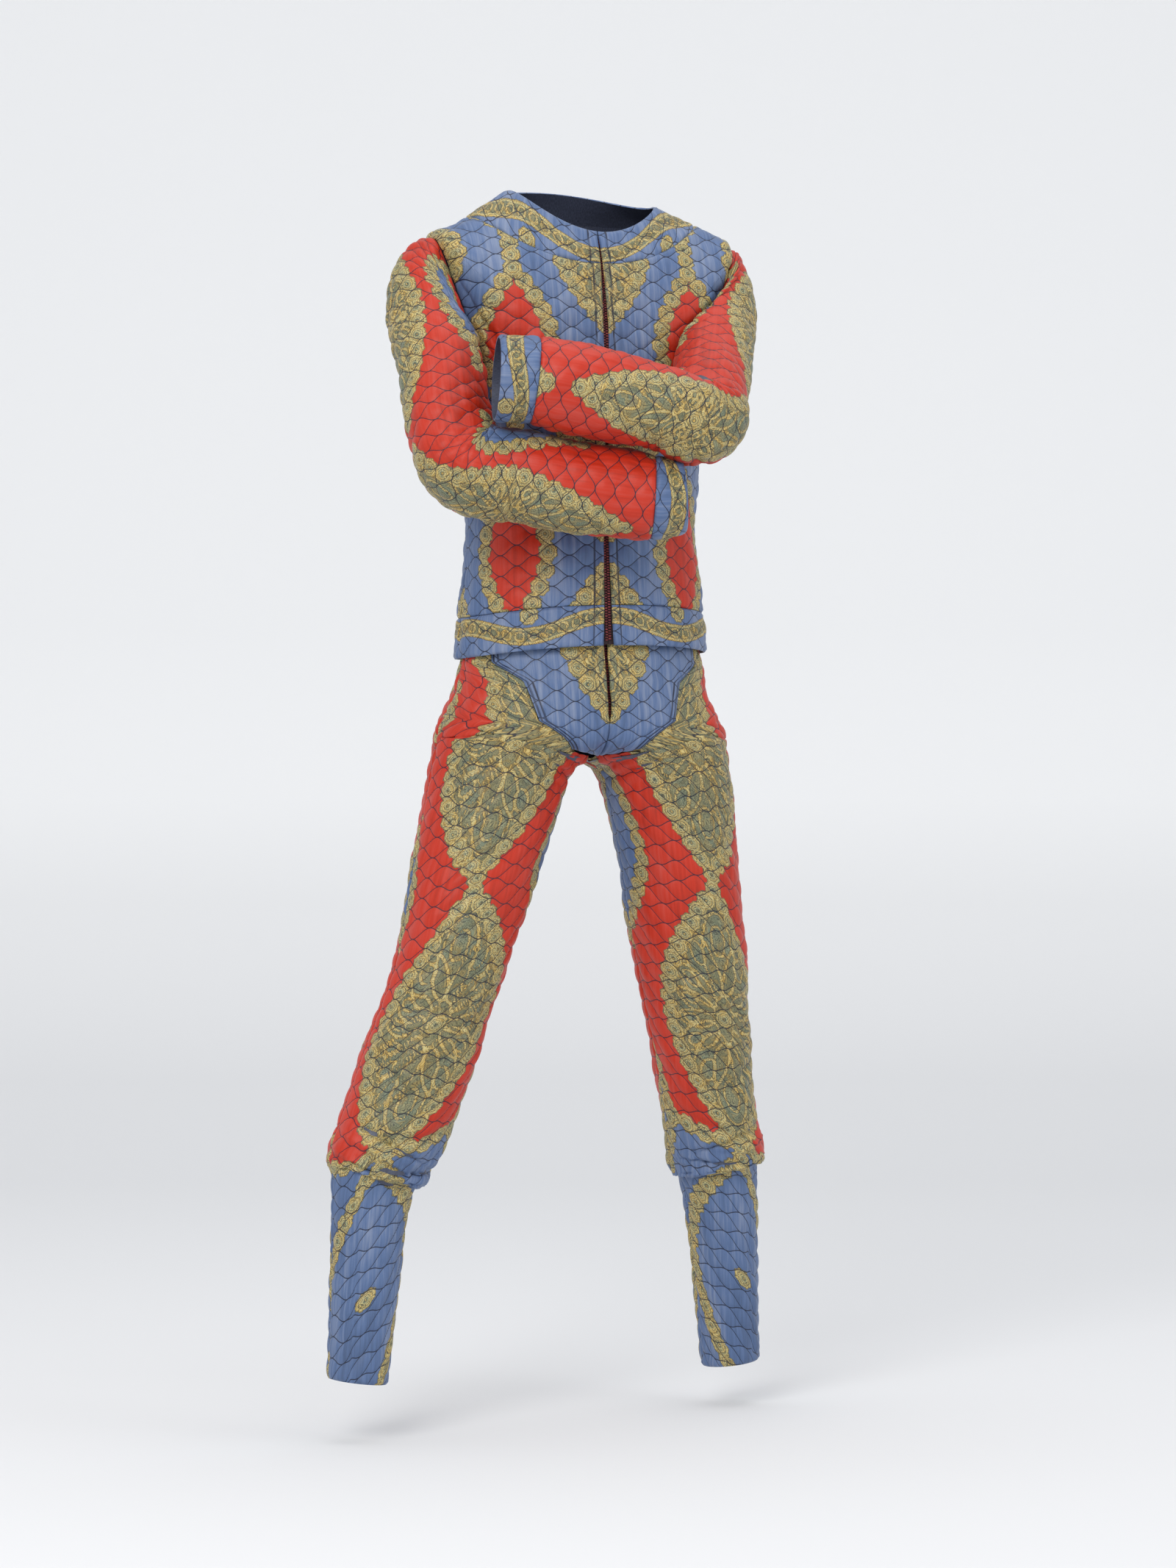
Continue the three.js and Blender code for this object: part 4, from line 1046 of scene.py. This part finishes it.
def print_cloth(slot_name, look):
    """Printed cotton satin, quilted in dark thread; each stitched line is drawn as the thread and, wider than
    it, painted shade of its channel. The satin weave gives a soft, silky shine on each pad.
    """
    name, *dyes = CLOTHS[slot_name]
    known = bpy.data.materials.get(name)
    if known:
        return known
    material, tree = new_material(name)
    uv = add(tree, "UVMap", uv_map="cloth")
    mm = add(tree, "VectorMath", {0: uv, 1: (1000, 1000, 1000)}, operation="MULTIPLY")
    axes = add(tree, "SeparateXYZ", {0: mm})

    # Ground colours: two dyes, each streaked where a slub took more or less of it.
    slub_map = add(tree, "VectorMath", {0: mm, 1: (0.24, 0.012, 1)}, operation="MULTIPLY")
    slub = add(tree, "TexNoise", {"Vector": slub_map, "Scale": 1.0, "Detail": 4.0, "Roughness": 0.6})
    wash_map = add(tree, "VectorMath", {0: mm, 1: (0.02, 0.006, 1)}, operation="MULTIPLY")
    wash = add(tree, "TexNoise", {"Vector": wash_map, "Scale": 1.0, "Detail": 3.0})
    streak = add(tree, "Math", {0: slub, 1: wash}, operation="ADD")
    streak_half = add(tree, "Math", {0: streak, 1: 0.5}, operation="MULTIPLY")
    grounds = []
    for dye_name in dyes:
        ramp = add(tree, "ValToRGB", {0: streak_half})
        tones = shades(getattr(look, dye_name), *GROUND_WEAR[dye_name])
        set_ramp(ramp, zip(STREAK_STOPS, tones, (1, 1, 1)))
        grounds.append(ramp)
    zone = add(tree, "Attribute", attribute_name="zone")
    in_zone = add(tree, "Math", {0: zone.outputs["Fac"], 1: 0.0}, operation="GREATER_THAN")
    top = add(tree, "Mix", {0: in_zone, 6: grounds[0], 7: grounds[1]}, data_type="RGBA").outputs[2]

    # Filigree: fine curled lines that break up the motifs, about 5 mm apart.
    curl = add(tree, "TexNoise", {"Vector": mm, "Scale": 0.085, "Detail": 1.0})
    curl_shift = add(tree, "VectorMath", {0: curl.outputs["Color"], 1: (16, 16, 0)}, operation="MULTIPLY")
    curled = add(tree, "VectorMath", {0: mm, 1: curl_shift}, operation="ADD")
    cells = add(tree, "TexVoronoi", {"Vector": curled, "Scale": 0.15}, feature="F1", voronoi_dimensions="2D")
    rings = add(tree, "Math", {0: cells.outputs["Distance"], 1: 21.0}, operation="MULTIPLY")
    ring_wave = add(tree, "Math", {0: rings}, operation="SINE")
    jitter = add(tree, "Math", {0: ring_wave, 1: 0.5}, operation="MULTIPLY")

    # Motifs. Outlines show only where a medallion or ribbon lies.
    motif = None
    for field, stops, reach, shake in MOTIF_LAYERS:
        far = add(tree, "Attribute", attribute_name=field).outputs["Fac"]
        shaken = add(tree, "Math", {0: jitter, 1: shake, 2: far}, operation="MULTIPLY_ADD")
        scaled = add(tree, "Math", {0: shaken, 1: reach}, operation="DIVIDE")
        ramp = add(tree, "ValToRGB", {0: scaled})
        set_ramp(ramp, dyed(stops, look), reach)
        cover = ramp.outputs["Alpha"]
        if field == "outline":
            cover = add(tree, "Math", {0: cover, 1: motif}, operation="MULTIPLY").outputs[0]
        top = add(tree, "Mix", {0: cover, 6: top, 7: ramp}, data_type="RGBA").outputs[2]
        if motif is None:
            motif = cover
        else:
            motif = add(tree, "Math", {0: motif, 1: cover}, operation="MAXIMUM").outputs[0]

    # Each curled cell takes a little more green, gold or grey, as small printed blooms do, with inked edges.
    tints = add(tree, "ValToRGB", {0: cells.outputs["Color"]})
    set_ramp(tints, dyed(BLOOM_STOPS, look), interpolation="CONSTANT")
    tint_share = add(tree, "Math", {0: motif, 1: 0.28}, operation="MULTIPLY")
    tinted = add(tree, "Mix", {0: tint_share, 6: top, 7: tints}, data_type="RGBA")
    ink = add(tree, "MapRange", {"Value": ring_wave, "From Min": 0.45, "From Max": 0.9, "To Max": 0.7})
    ink_share = add(tree, "Math", {0: ink, 1: motif}, operation="MULTIPLY")
    inked = add(tree, "Mix", {0: ink_share, 6: tinted.outputs[2], 7: tuple(look.ink)}, data_type="RGBA")

    # Stitching: distance to the nearest wavy line, in millimetres, then to the nearest row of topstitching.
    phase = add(tree, "Math", {0: axes.outputs[0], 1: 2 * math.pi / PAD_WIDE}, operation="MULTIPLY")
    cosine = add(tree, "Math", {0: phase}, operation="COSINE")
    wave = add(tree, "Math", {0: cosine, 1: WAVE_HIGH}, operation="MULTIPLY")
    even = add(tree, "Math", {0: axes.outputs[1], 1: wave}, operation="SUBTRACT")
    odd = add(tree, "Math", {0: axes.outputs[1], 1: wave}, operation="ADD")
    odd_half = add(tree, "Math", {0: odd, 1: PAD_LONG / 2}, operation="SUBTRACT")
    near_even = add(tree, "Math", {0: even, 1: PAD_LONG / 2}, operation="PINGPONG")
    near_odd = add(tree, "Math", {0: odd_half, 1: PAD_LONG / 2}, operation="PINGPONG")
    near = add(tree, "Math", {0: near_even, 1: near_odd}, operation="MINIMUM")
    stitch = add(tree, "Attribute", attribute_name="stitch")
    stitch_thin = add(tree, "Math", {0: stitch.outputs["Fac"], 1: 0.5}, operation="MULTIPLY")
    nearest = add(tree, "Math", {0: near, 1: stitch_thin}, operation="MINIMUM")
    # The dark line is the thread and, wider than it, painted shade of the channel that the stitching presses
    # in.
    thread_and_channel_shade_edge = {"Value": nearest, "From Min": 0.35, "From Max": 0.85, "To Min": 0.92, "To Max": 0.0}
    thread_and_channel_shade = add(tree, "MapRange", thread_and_channel_shade_edge)
    sewn_and_channel_shaded = add(tree, "Mix", {0: thread_and_channel_shade, 6: inked.outputs[2], 7: tuple(look.thread_and_channel_shade)}, data_type="RGBA")

    # Relief: the valley along the stitching, small puckers across it, and the weave, drawn coarse to show.
    valley_edge = {"Value": nearest, "From Min": 0.0, "From Max": 3.2}
    valley = add(tree, "MapRange", valley_edge, interpolation_type="SMOOTHSTEP")
    pucker = add(tree, "TexNoise", {"Vector": mm, "Scale": 0.16, "Detail": 3.0})
    weave_map = add(tree, "VectorMath", {0: mm, 1: (1.0, 0.35, 1)}, operation="MULTIPLY")
    weave = add(tree, "TexNoise", {"Vector": weave_map, "Scale": 1.0, "Detail": 1.0})
    relief = add(tree, "Math", {0: pucker, 1: 0.9, 2: valley}, operation="MULTIPLY_ADD")
    relief_weave = add(tree, "Math", {0: weave, 1: 0.10, 2: relief}, operation="MULTIPLY_ADD")
    bump = add(tree, "Bump", {"Height": relief_weave, "Strength": 0.4, "Distance": 0.0009})
    shine = add(tree, "MapRange", {"Value": slub, "To Min": 0.42, "To Max": 0.58})
    satin = {"Specular IOR Level": 0.36, "Sheen Weight": 0.06, "Sheen Roughness": 0.4}
    shader = add(
        tree, "BsdfPrincipled", {"Base Color": sewn_and_channel_shaded.outputs[2], "Roughness": shine, "Normal": bump, **satin}
    )
    add(tree, "OutputMaterial", {"Surface": shader})
    return material


def lining_material(look):
    """Plain dark acetate lining: smooth and faintly glossy."""
    known = bpy.data.materials.get("acetate lining")
    if known:
        return known
    material, tree = new_material("acetate lining")
    uv = add(tree, "UVMap", uv_map="cloth")
    threads = add(tree, "VectorMath", {0: uv, 1: (900, 260, 1)}, operation="MULTIPLY")
    weave = add(tree, "TexNoise", {"Vector": threads, "Scale": 1.0, "Detail": 2.0})
    tint = add(tree, "ValToRGB", {0: weave})
    dark, plain, _ = shades(look.lining, 0.5, 0)
    set_ramp(tint, ((0.3, dark, 1), (0.7, plain, 1)))
    bump = add(tree, "Bump", {"Height": weave, "Strength": 0.2, "Distance": 0.0004})
    shader = add(tree, "BsdfPrincipled", {"Base Color": tint, "Roughness": 0.45, "Normal": bump})
    add(tree, "OutputMaterial", {"Surface": shader})
    return material


def tape_material(look):
    """Woven polyester zip tape: dull, dark maroon, ribbed across, with painted shade darkening the grooves
    between the ribs.
    """
    material, tree = new_material("woven zip tape")
    place = add(tree, "TexCoord").outputs["Object"]
    ribs = add(tree, "TexWave", {"Vector": place, "Scale": 320.0}, bands_direction="Z")
    tint = add(tree, "ValToRGB", {0: ribs})
    # Darker between the ribs: painted shade in the grooves.
    set_ramp(tint, ((0.0, look.tape_groove_shade, 1), (1.0, look.tape, 1)))
    bump = add(tree, "Bump", {"Height": ribs.outputs["Fac"], "Strength": 0.4, "Distance": 0.0003})
    shader = add(tree, "BsdfPrincipled", {"Base Color": tint, "Roughness": 0.75, "Normal": bump})
    add(tree, "OutputMaterial", {"Surface": shader})
    return material


def tooth_material(look):
    """Lacquered metal teeth, dark red-brown, worn a little brighter."""
    material, tree = new_material("lacquered zip teeth")
    place = add(tree, "TexCoord").outputs["Object"]
    wear = add(tree, "TexNoise", {"Vector": place, "Scale": 260.0, "Detail": 2.0})
    tint = add(tree, "ValToRGB", {0: wear})
    set_ramp(tint, ((0.35, look.tooth, 1), (0.7, look.tooth_worn, 1)))
    shader = add(tree, "BsdfPrincipled", {"Base Color": tint, "Roughness": 0.35, "Metallic": 0.4})
    add(tree, "OutputMaterial", {"Surface": shader})
    return material


def paper_material(look, level):
    """Matt backdrop paper: dull and even, with painted shade that makes it a little darker where it lies on
    the floor.
    """
    material, tree = new_material("matt backdrop paper")
    place = add(tree, "TexCoord")
    height = add(tree, "SeparateXYZ", {0: place.outputs["Object"]}).outputs[2]
    # Painted shade: the paper is darker on the floor and lightens up the sweep.
    shade = add(tree, "MapRange", {"Value": height, "From Min": level, "From Max": level + FLOOR_FADE})
    tone = add(tree, "Mix", {0: shade, 6: tuple(look.floor), 7: tuple(look.backdrop)}, data_type="RGBA")
    shader = add(tree, "BsdfPrincipled", {"Base Color": tone.outputs[2], "Roughness": 0.9})
    add(tree, "OutputMaterial", {"Surface": shader})
    return material


# ---------------------------------------------------------------- jacket
def front_edge(station):
    """The angle of a front's edge beside the zip, which stands off further below the arms."""
    share = np.clip((station - UNDERARM_ROW) / (HEM_ROW - UNDERARM_ROW), 0, 1) ** 1.5
    return 90 - degrees_for((JACKET_GAP_TOP + (JACKET_GAP_HEM - JACKET_GAP_TOP) * share) / 2, ZIP_RADIUS)


def plain_seam(station):
    """Half the gap of a side or shoulder seam, in degrees."""
    return np.full(np.shape(station), degrees_for(EDGE_CLEAR, SIDE_RADIUS))


def beside_arm(side, face):
    """Where the cloth starts beside the armhole, or at the shoulder or side seam."""

    def start(station):
        share = np.clip((station - SHOULDER_ROW) / (UNDERARM_ROW - SHOULDER_ROW), 0, 1)
        down = np.arccos(1 - 2 * share) / np.pi
        clear = ARMHOLE_SEAM_DEG[face] * np.sqrt(np.maximum(0, np.sin(np.pi * down)))
        cut = armhole_cut(side, down)[face] + clear
        return plain_seam(station) + np.where((share > 0) & (share < 1), cut, 0)

    return start


def front_cut(side, start):
    """A front's span, from where it starts to the zip, and its zero line at the zip."""

    def zero(station):
        return front_edge(station) if side > 0 else 180 - front_edge(station)

    def span(station):
        return (start(station) if side > 0 else 180 - start(station)), zero(station)

    return span, zero


def back_cut(start):
    """The back's span, between its two starts."""

    def span(station):
        return -start(station), -180 + start(station)

    return span


def body_rows(step):
    """Rows of a body piece, closer together at both ends of the armhole, where its edge turns."""
    stations, along = even_stations(torso_at, BAND_ROW + NECK_SEAM_ROWS, HEM_SEAM_ROW, JACKET_LINE, step)
    deep = UNDERARM_ROW - SHOULDER_ROW
    share = np.clip((stations - SHOULDER_ROW) / deep, 0, 1)
    moved = stations + ((1 - np.cos(np.pi * share)) / 2 - share) * deep * ROW_CROWDING
    return moved, np.interp(moved, stations, along)


def body_map(face):
    """Straight grain for the body: level rows, and widths measured from the middle."""

    def to_cloth(points, u, v):
        x, y, z = points[..., 0], points[..., 1], points[..., 2]
        low = soft_step((-z - GRAIN_TOP) / GRAIN_LONG)
        width = np.sign(u) * np.abs(x) * (1 - low) + u * low
        return width, -z - GRAIN_SLOPE * (1 - low) * np.clip(BODY_DEEP[face] - np.abs(y), 0, None)

    return to_cloth


def zip_stitching(near):
    """A row of topstitching at a fixed distance from the zip's edge."""

    def distance(u, over):
        return np.abs(np.abs(u) - near)

    return distance


def sew_jacket(look):
    """Fronts, back and the three bands."""
    for front_name, back_name, start, end, layout in (
        ("jacket_front", "jacket_back", None, None, LATTICE_JACKET),
        ("hem_band", "hem_band_back", HEM_SEAM_ROW + BAND_SEAM_ROWS, HEM_ROW, RIBBON_HEM),
        ("neck_band", "neck_band_back", NECK_ROW, BAND_ROW, RIBBON_NECK),
    ):
        is_body = start is None
        pulls = JACKET_PULLS if is_body else None

        def rows(line, start=start, end=end, is_body=is_body):
            step = look.cloth_step
            return body_rows(step) if is_body else even_stations(jacket_at, start, end, line, step)

        for word, side in SIDES:
            span, zero = front_cut(side, beside_arm(side, "front") if is_body else plain_seam)
            sew_piece(
                f"{front_name}_{word}", jacket_at, rows(JACKET_LINE), span, zero, layout, "blue_cloth", look,
                cloth_map=body_map("front") if is_body else None, pulls=pulls,
                sewing=zip_stitching(ZIP_THREAD[side]),
            )
        span = back_cut(beside_arm(1, "back") if is_body else plain_seam)
        sew_piece(
            back_name, jacket_at, rows(-JACKET_LINE), span, BACK_MIDDLE, layout, "blue_cloth", look,
            cloth_map=body_map("back") if is_body else None, pulls=pulls,
        )


def sleeve_span(station):
    """All round the arm, less the gap of the seam under it."""
    edge = np.full(station.shape, 180 - degrees_for(EDGE_CLEAR, ARM_RADIUS))
    return -edge, edge


def sew_sleeves(look):
    """Each sleeve and cuff is one strip whose long edges meet under the arm."""
    for word, side in SIDES:
        at = sleeve_surface(side)
        for kind, start, end, layout, slot_name, pulls in (
            ("sleeve", 0, CUFF_SEAM_ROW, LATTICE_SLEEVE, "red_cloth", SLEEVE_PULLS),
            ("cuff", CUFF_SEAM_ROW + BAND_SEAM_ROWS, CUFF_ROW, RIBBON_CUFF, "blue_cloth", None),
        ):
            rows = even_stations(at, start, end, SLEEVE_LINES, look.cloth_step)
            sew_piece(f"{kind}_{word}", at, rows, sleeve_span, 0.0, layout, slot_name, look, pulls=pulls)


# ---------------------------------------------------------------- trousers
def yoke_stitching(u, over):
    """Two rows of topstitching along the yoke's curved edge."""
    return np.minimum(*(np.abs(over - row) for row in YOKE_THREADS))


def sew_trousers(look):
    """Fronts and backs of both legs, and the front yoke lapped over them."""
    for word, side in SIDES:
        leg = Leg(side)
        parts = [even_stations(leg.at, *stretch, look.cloth_step)[0] for stretch in LEG_STRETCHES]
        stations = np.concatenate([parts[0], *(part[1:] for part in parts[1:])])
        along = lengths_along(leg.at(stations, np.full(stations.shape, LEG_LINE)))
        for kind, span in (("front", leg.front_span), ("back", leg.back_span)):
            sew_piece(
                f"trouser_{kind}_{word}", leg.at, (stations, along), span, LEG_MIDDLES[kind],
                LATTICE_TROUSERS, "olive_cloth", look,
                reshape=round_hip, pulls=LEG_PULLS, own_length=LEG_OWN_LENGTH,
            )
        above = np.count_nonzero(stations < YOKE_END_ROW)
        count = (above - 1) // INNER_STRIDE * INNER_STRIDE + 1
        sew_piece(
            f"front_yoke_{word}", leg.at, (stations[:count], along[:count]), leg.yoke_span, leg.inner,
            LATTICE_YOKE, "blue_cloth", look, lift=LAP, reshape=leg.open_fly, sewing=yoke_stitching,
        )


# ---------------------------------------------------------------- zips
def cut_tooth():
    """One tooth: a block with its head pinched and pulled out."""
    bpy.ops.object.select_all(action="DESELECT")
    bpy.ops.mesh.primitive_cube_add(size=1)
    tooth = bpy.context.object
    tooth.scale = [s * MM for s in TOOTH_SIZE]
    bpy.ops.object.transform_apply(location=False, rotation=False, scale=True)
    bpy.ops.object.mode_set(mode="EDIT")
    bpy.ops.mesh.select_mode(type="FACE")
    bpy.ops.mesh.select_all(action="DESELECT")
    bpy.ops.object.mode_set(mode="OBJECT")
    for face in tooth.data.polygons:
        face.select = face.normal.x > 0.9
    bpy.ops.object.mode_set(mode="EDIT")
    bpy.ops.mesh.inset(thickness=TOOTH_INSET * MM)
    bpy.ops.transform.translate(value=(TOOTH_HEAD * MM, 0, 0))
    bpy.ops.object.mode_set(mode="OBJECT")
    return tooth


def mesh_points(mesh):
    """A mesh's vertices, in millimetres."""
    points = np.empty(len(mesh.vertices) * 3)
    mesh.vertices.foreach_get("co", points)
    return points.reshape(-1, 3) / MM


def zip_teeth(name, line, side, material):
    """Teeth copied along a line of points, heads towards the opening."""
    tooth = cut_tooth()
    corners = mesh_points(tooth.data)
    faces = [list(face.vertices) for face in tooth.data.polygons]
    bpy.data.objects.remove(tooth)
    if side > 0:
        corners[:, 0] *= -1
        faces = [face[::-1] for face in faces]
    lengths = lengths_along(line)
    first = ZIP_END + (TOOTH_PITCH / 2 if side > 0 else 0)
    places = np.arange(first, lengths[-1] - ZIP_END, TOOTH_PITCH)
    centres = np.stack([np.interp(places, lengths, line[:, k]) for k in range(3)], -1)
    points = (centres[:, None, :] + corners[None]).reshape(-1, 3)
    all_faces = [[i * len(corners) + k for k in face] for i in range(len(centres)) for face in faces]
    obj = link_mesh(name, (points * MM).tolist(), all_faces)
    obj.data.materials.append(material)
    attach(obj, "root")


def tape_line(node):
    """A line down the front of a CAD tape, from its own mesh, at x = 0."""
    points = mesh_points(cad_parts[node].data)
    heights = np.unique(points[:, 2].round(1))[::-1]
    rows = [points[np.abs(points[:, 2] - z) < 0.2] for z in heights]
    return np.array([(0.0, row[:, 1].min() - TOOTH_LIFT, row[:, 2].mean()) for row in rows])


def fit_zips(look):
    """Gives the CAD tapes their cloth and sets two rows of teeth on each zip."""
    tape = tape_material(look)
    teeth = tooth_material(look)
    for node in ("jacket_zip_left", "jacket_zip_right", "fly_zip"):
        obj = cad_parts[node]
        obj.data.materials.clear()
        obj.data.materials.append(tape)
    for word, side in SIDES:
        line = tape_line(f"jacket_zip_{word}")
        line[:, 0] = side * JACKET_TEETH_X
        zip_teeth(f"jacket_teeth_{word}", line, side, teeth)
        line = tape_line("fly_zip")
        line[:, 0] = middle_x(line[:, 2]) + side * FLY_TEETH_X
        zip_teeth(f"fly_teeth_{word}", line, side, teeth)


# ---------------------------------------------------------------- studio
def lay_floor(look):
    """Paper that lies square to the camera and sweeps up behind."""
    level = look.floor_height * MM
    c, s = math.cos(CAMERA_TURN), math.sin(CAMERA_TURN)
    points = [
        (x * c - depth * s, x * s + depth * c, level + rise)
        for depth, rise in FLOOR_SWEEP
        for x in (-FLOOR_HALF, FLOOR_HALF)
    ]
    faces = [(2 * i, 2 * i + 1, 2 * i + 3, 2 * i + 2) for i in range(len(FLOOR_SWEEP) - 1)]
    floor = link_mesh("floor", points, faces)
    floor.data.polygons.foreach_set("use_smooth", np.ones(len(faces), bool))
    floor.data.materials.append(paper_material(look, level))


def build_stage(look):
    """Floor, soft lights, world and camera."""
    scene = bpy.context.scene
    lay_floor(look)
    for name, place, aim, size, power, tint in LIGHTS:
        light = bpy.data.lights.new(name, "AREA")
        light.shape = "DISK"
        light.size = size
        light.energy = power
        light.color = tint
        lamp = bpy.data.objects.new(name, light)
        lamp.location = place
        lamp.rotation_euler = (Vector(aim) - Vector(place)).to_track_quat("-Z", "Y").to_euler()
        scene.collection.objects.link(lamp)

    world = bpy.data.worlds.new("studio")
    world.use_nodes = True
    background = world.node_tree.nodes["Background"]
    background.inputs["Color"].default_value = look.sky
    background.inputs["Strength"].default_value = WORLD_STRENGTH
    scene.world = world

    camera_data = bpy.data.cameras.new("camera")
    camera_data.lens = CAMERA_LENS
    camera_data.sensor_fit = "VERTICAL"
    camera_data.sensor_height = CAMERA_FILM
    camera = bpy.data.objects.new("camera", camera_data)
    camera.location = CAMERA_PLACE
    camera.rotation_euler = (math.radians(90), 0, CAMERA_TURN)
    scene.collection.objects.link(camera)
    scene.camera = camera
    scene.view_settings.view_transform = "Standard"


# ---------------------------------------------------------------- add-on
def dye(name, description, hex_code):
    """A colour property with its default."""
    return bpy.props.FloatVectorProperty(
        name=name, description=description, subtype="COLOR", size=4, min=0, max=1, default=colour(hex_code)
    )


def size(name, description, default, **limits):
    """A number property."""
    return bpy.props.FloatProperty(name=name, description=description, default=default, **limits)


class SuitLook(bpy.types.PropertyGroup):
    """Sizes and colours that a user would change"""

    cloth_step: size("Cloth step", "Spacing of the cloth's rows and columns, in millimetres", 3.0, min=1.5)
    pad_height: size("Pad height", "How far each quilted pad stands up, in millimetres", 2.4, min=0)
    fold_depth: size("Fold depth", "How deep the finer folds are", 1.45, min=0, max=2, subtype="FACTOR")
    floor_height: size("Floor height", "Height of the floor from the shoulders, in millimetres", -1372.0)
    blue: dye("Blue ground", "Indigo blue dye of the jacket's ground", "#52688F")
    red: dye("Red ground", "Red dye of the sleeves' and trousers' ground", "#B92A10")
    gold: dye("Gold", "Yellow ochre of the outlines", "#B4944A")
    cream: dye("Pale gold", "Palest yellow of the florets and outlines", "#CEC084")
    straw: dye("Straw", "Dull yellow of the fine lines", "#A39A6E")
    olive: dye("Olive", "Olive of the medallions", "#787451")
    leaf: dye("Leaf green", "Grey green of the medallions", "#767F68")
    ink: dye("Ink", "Dark lines round the motifs", "#25282A")
    # The thread's colour, also used as painted shade along each stitched channel.
    thread_and_channel_shade: dye("Thread", "Quilting and topstitching thread", "#15182B")
    lining: dye("Lining", "Lining of the jacket and trousers", "#4B5166")
    tape: dye("Zip tape", "Ribs of the zips' woven tape", "#30141A")
    # Painted shade in the grooves between the tape's ribs.
    tape_groove_shade: dye("Zip tape grooves", "Between the ribs of the tape", "#160B0E")
    tooth: dye("Zip teeth", "Lacquer on the zips' teeth", "#4A1A20")
    tooth_worn: dye("Worn zip teeth", "Lacquer where it is rubbed", "#8C3A3C")
    # The floor's darker tone is painted shade on the same paper as the backdrop.
    floor: dye("Floor", "Studio floor", "#E2E3E5")
    backdrop: dye("Backdrop", "Studio backdrop", "#F7F8F9")
    sky: dye("Surroundings", "Light from all round the studio", "#F2F3F5")


class SUIT_OT_jacket(bpy.types.Operator):
    """Sew the jacket's fronts, back and bands"""

    bl_idname = "suit.jacket"
    bl_label = "Sew jacket"

    def execute(self, context):
        sew_jacket(context.scene.suit_look)
        return {"FINISHED"}


class SUIT_OT_sleeves(bpy.types.Operator):
    """Sew both sleeves and their cuffs"""

    bl_idname = "suit.sleeves"
    bl_label = "Sew sleeves"

    def execute(self, context):
        sew_sleeves(context.scene.suit_look)
        return {"FINISHED"}


class SUIT_OT_trousers(bpy.types.Operator):
    """Sew the trousers' fronts, backs and front yoke"""

    bl_idname = "suit.trousers"
    bl_label = "Sew trousers"

    def execute(self, context):
        sew_trousers(context.scene.suit_look)
        return {"FINISHED"}


class SUIT_OT_zips(bpy.types.Operator):
    """Weave the zip tapes and set their teeth"""

    bl_idname = "suit.zips"
    bl_label = "Fit zips"

    def execute(self, context):
        fit_zips(context.scene.suit_look)
        return {"FINISHED"}


class SUIT_OT_stage(bpy.types.Operator):
    """Set up the floor, lights and camera"""

    bl_idname = "suit.stage"
    bl_label = "Build studio"

    def execute(self, context):
        build_stage(context.scene.suit_look)
        return {"FINISHED"}


STEPS = (SUIT_OT_stage, SUIT_OT_jacket, SUIT_OT_sleeves, SUIT_OT_trousers, SUIT_OT_zips)


class SUIT_PT_panel(bpy.types.Panel):
    """Sizes and steps of the suit"""

    bl_idname = "SUIT_PT_panel"
    bl_label = "Quilted suit"
    bl_space_type = "VIEW_3D"
    bl_region_type = "UI"
    bl_category = "Suit"

    def draw(self, context):
        look = context.scene.suit_look
        for name in SuitLook.__annotations__:
            self.layout.prop(look, name)
        for step in STEPS:
            self.layout.operator(step.bl_idname)


def register():
    for cls in (SuitLook, *STEPS, SUIT_PT_panel):
        bpy.utils.register_class(cls)
    bpy.types.Scene.suit_look = bpy.props.PointerProperty(type=SuitLook)


def unregister():
    del bpy.types.Scene.suit_look
    for cls in (SUIT_PT_panel, *reversed(STEPS), SuitLook):
        bpy.utils.unregister_class(cls)


def main():
    register()
    bpy.ops.suit.stage()
    bpy.ops.suit.jacket()
    bpy.ops.suit.sleeves()
    bpy.ops.suit.trousers()
    bpy.ops.suit.zips()


if __name__ == "__main__":
    main()
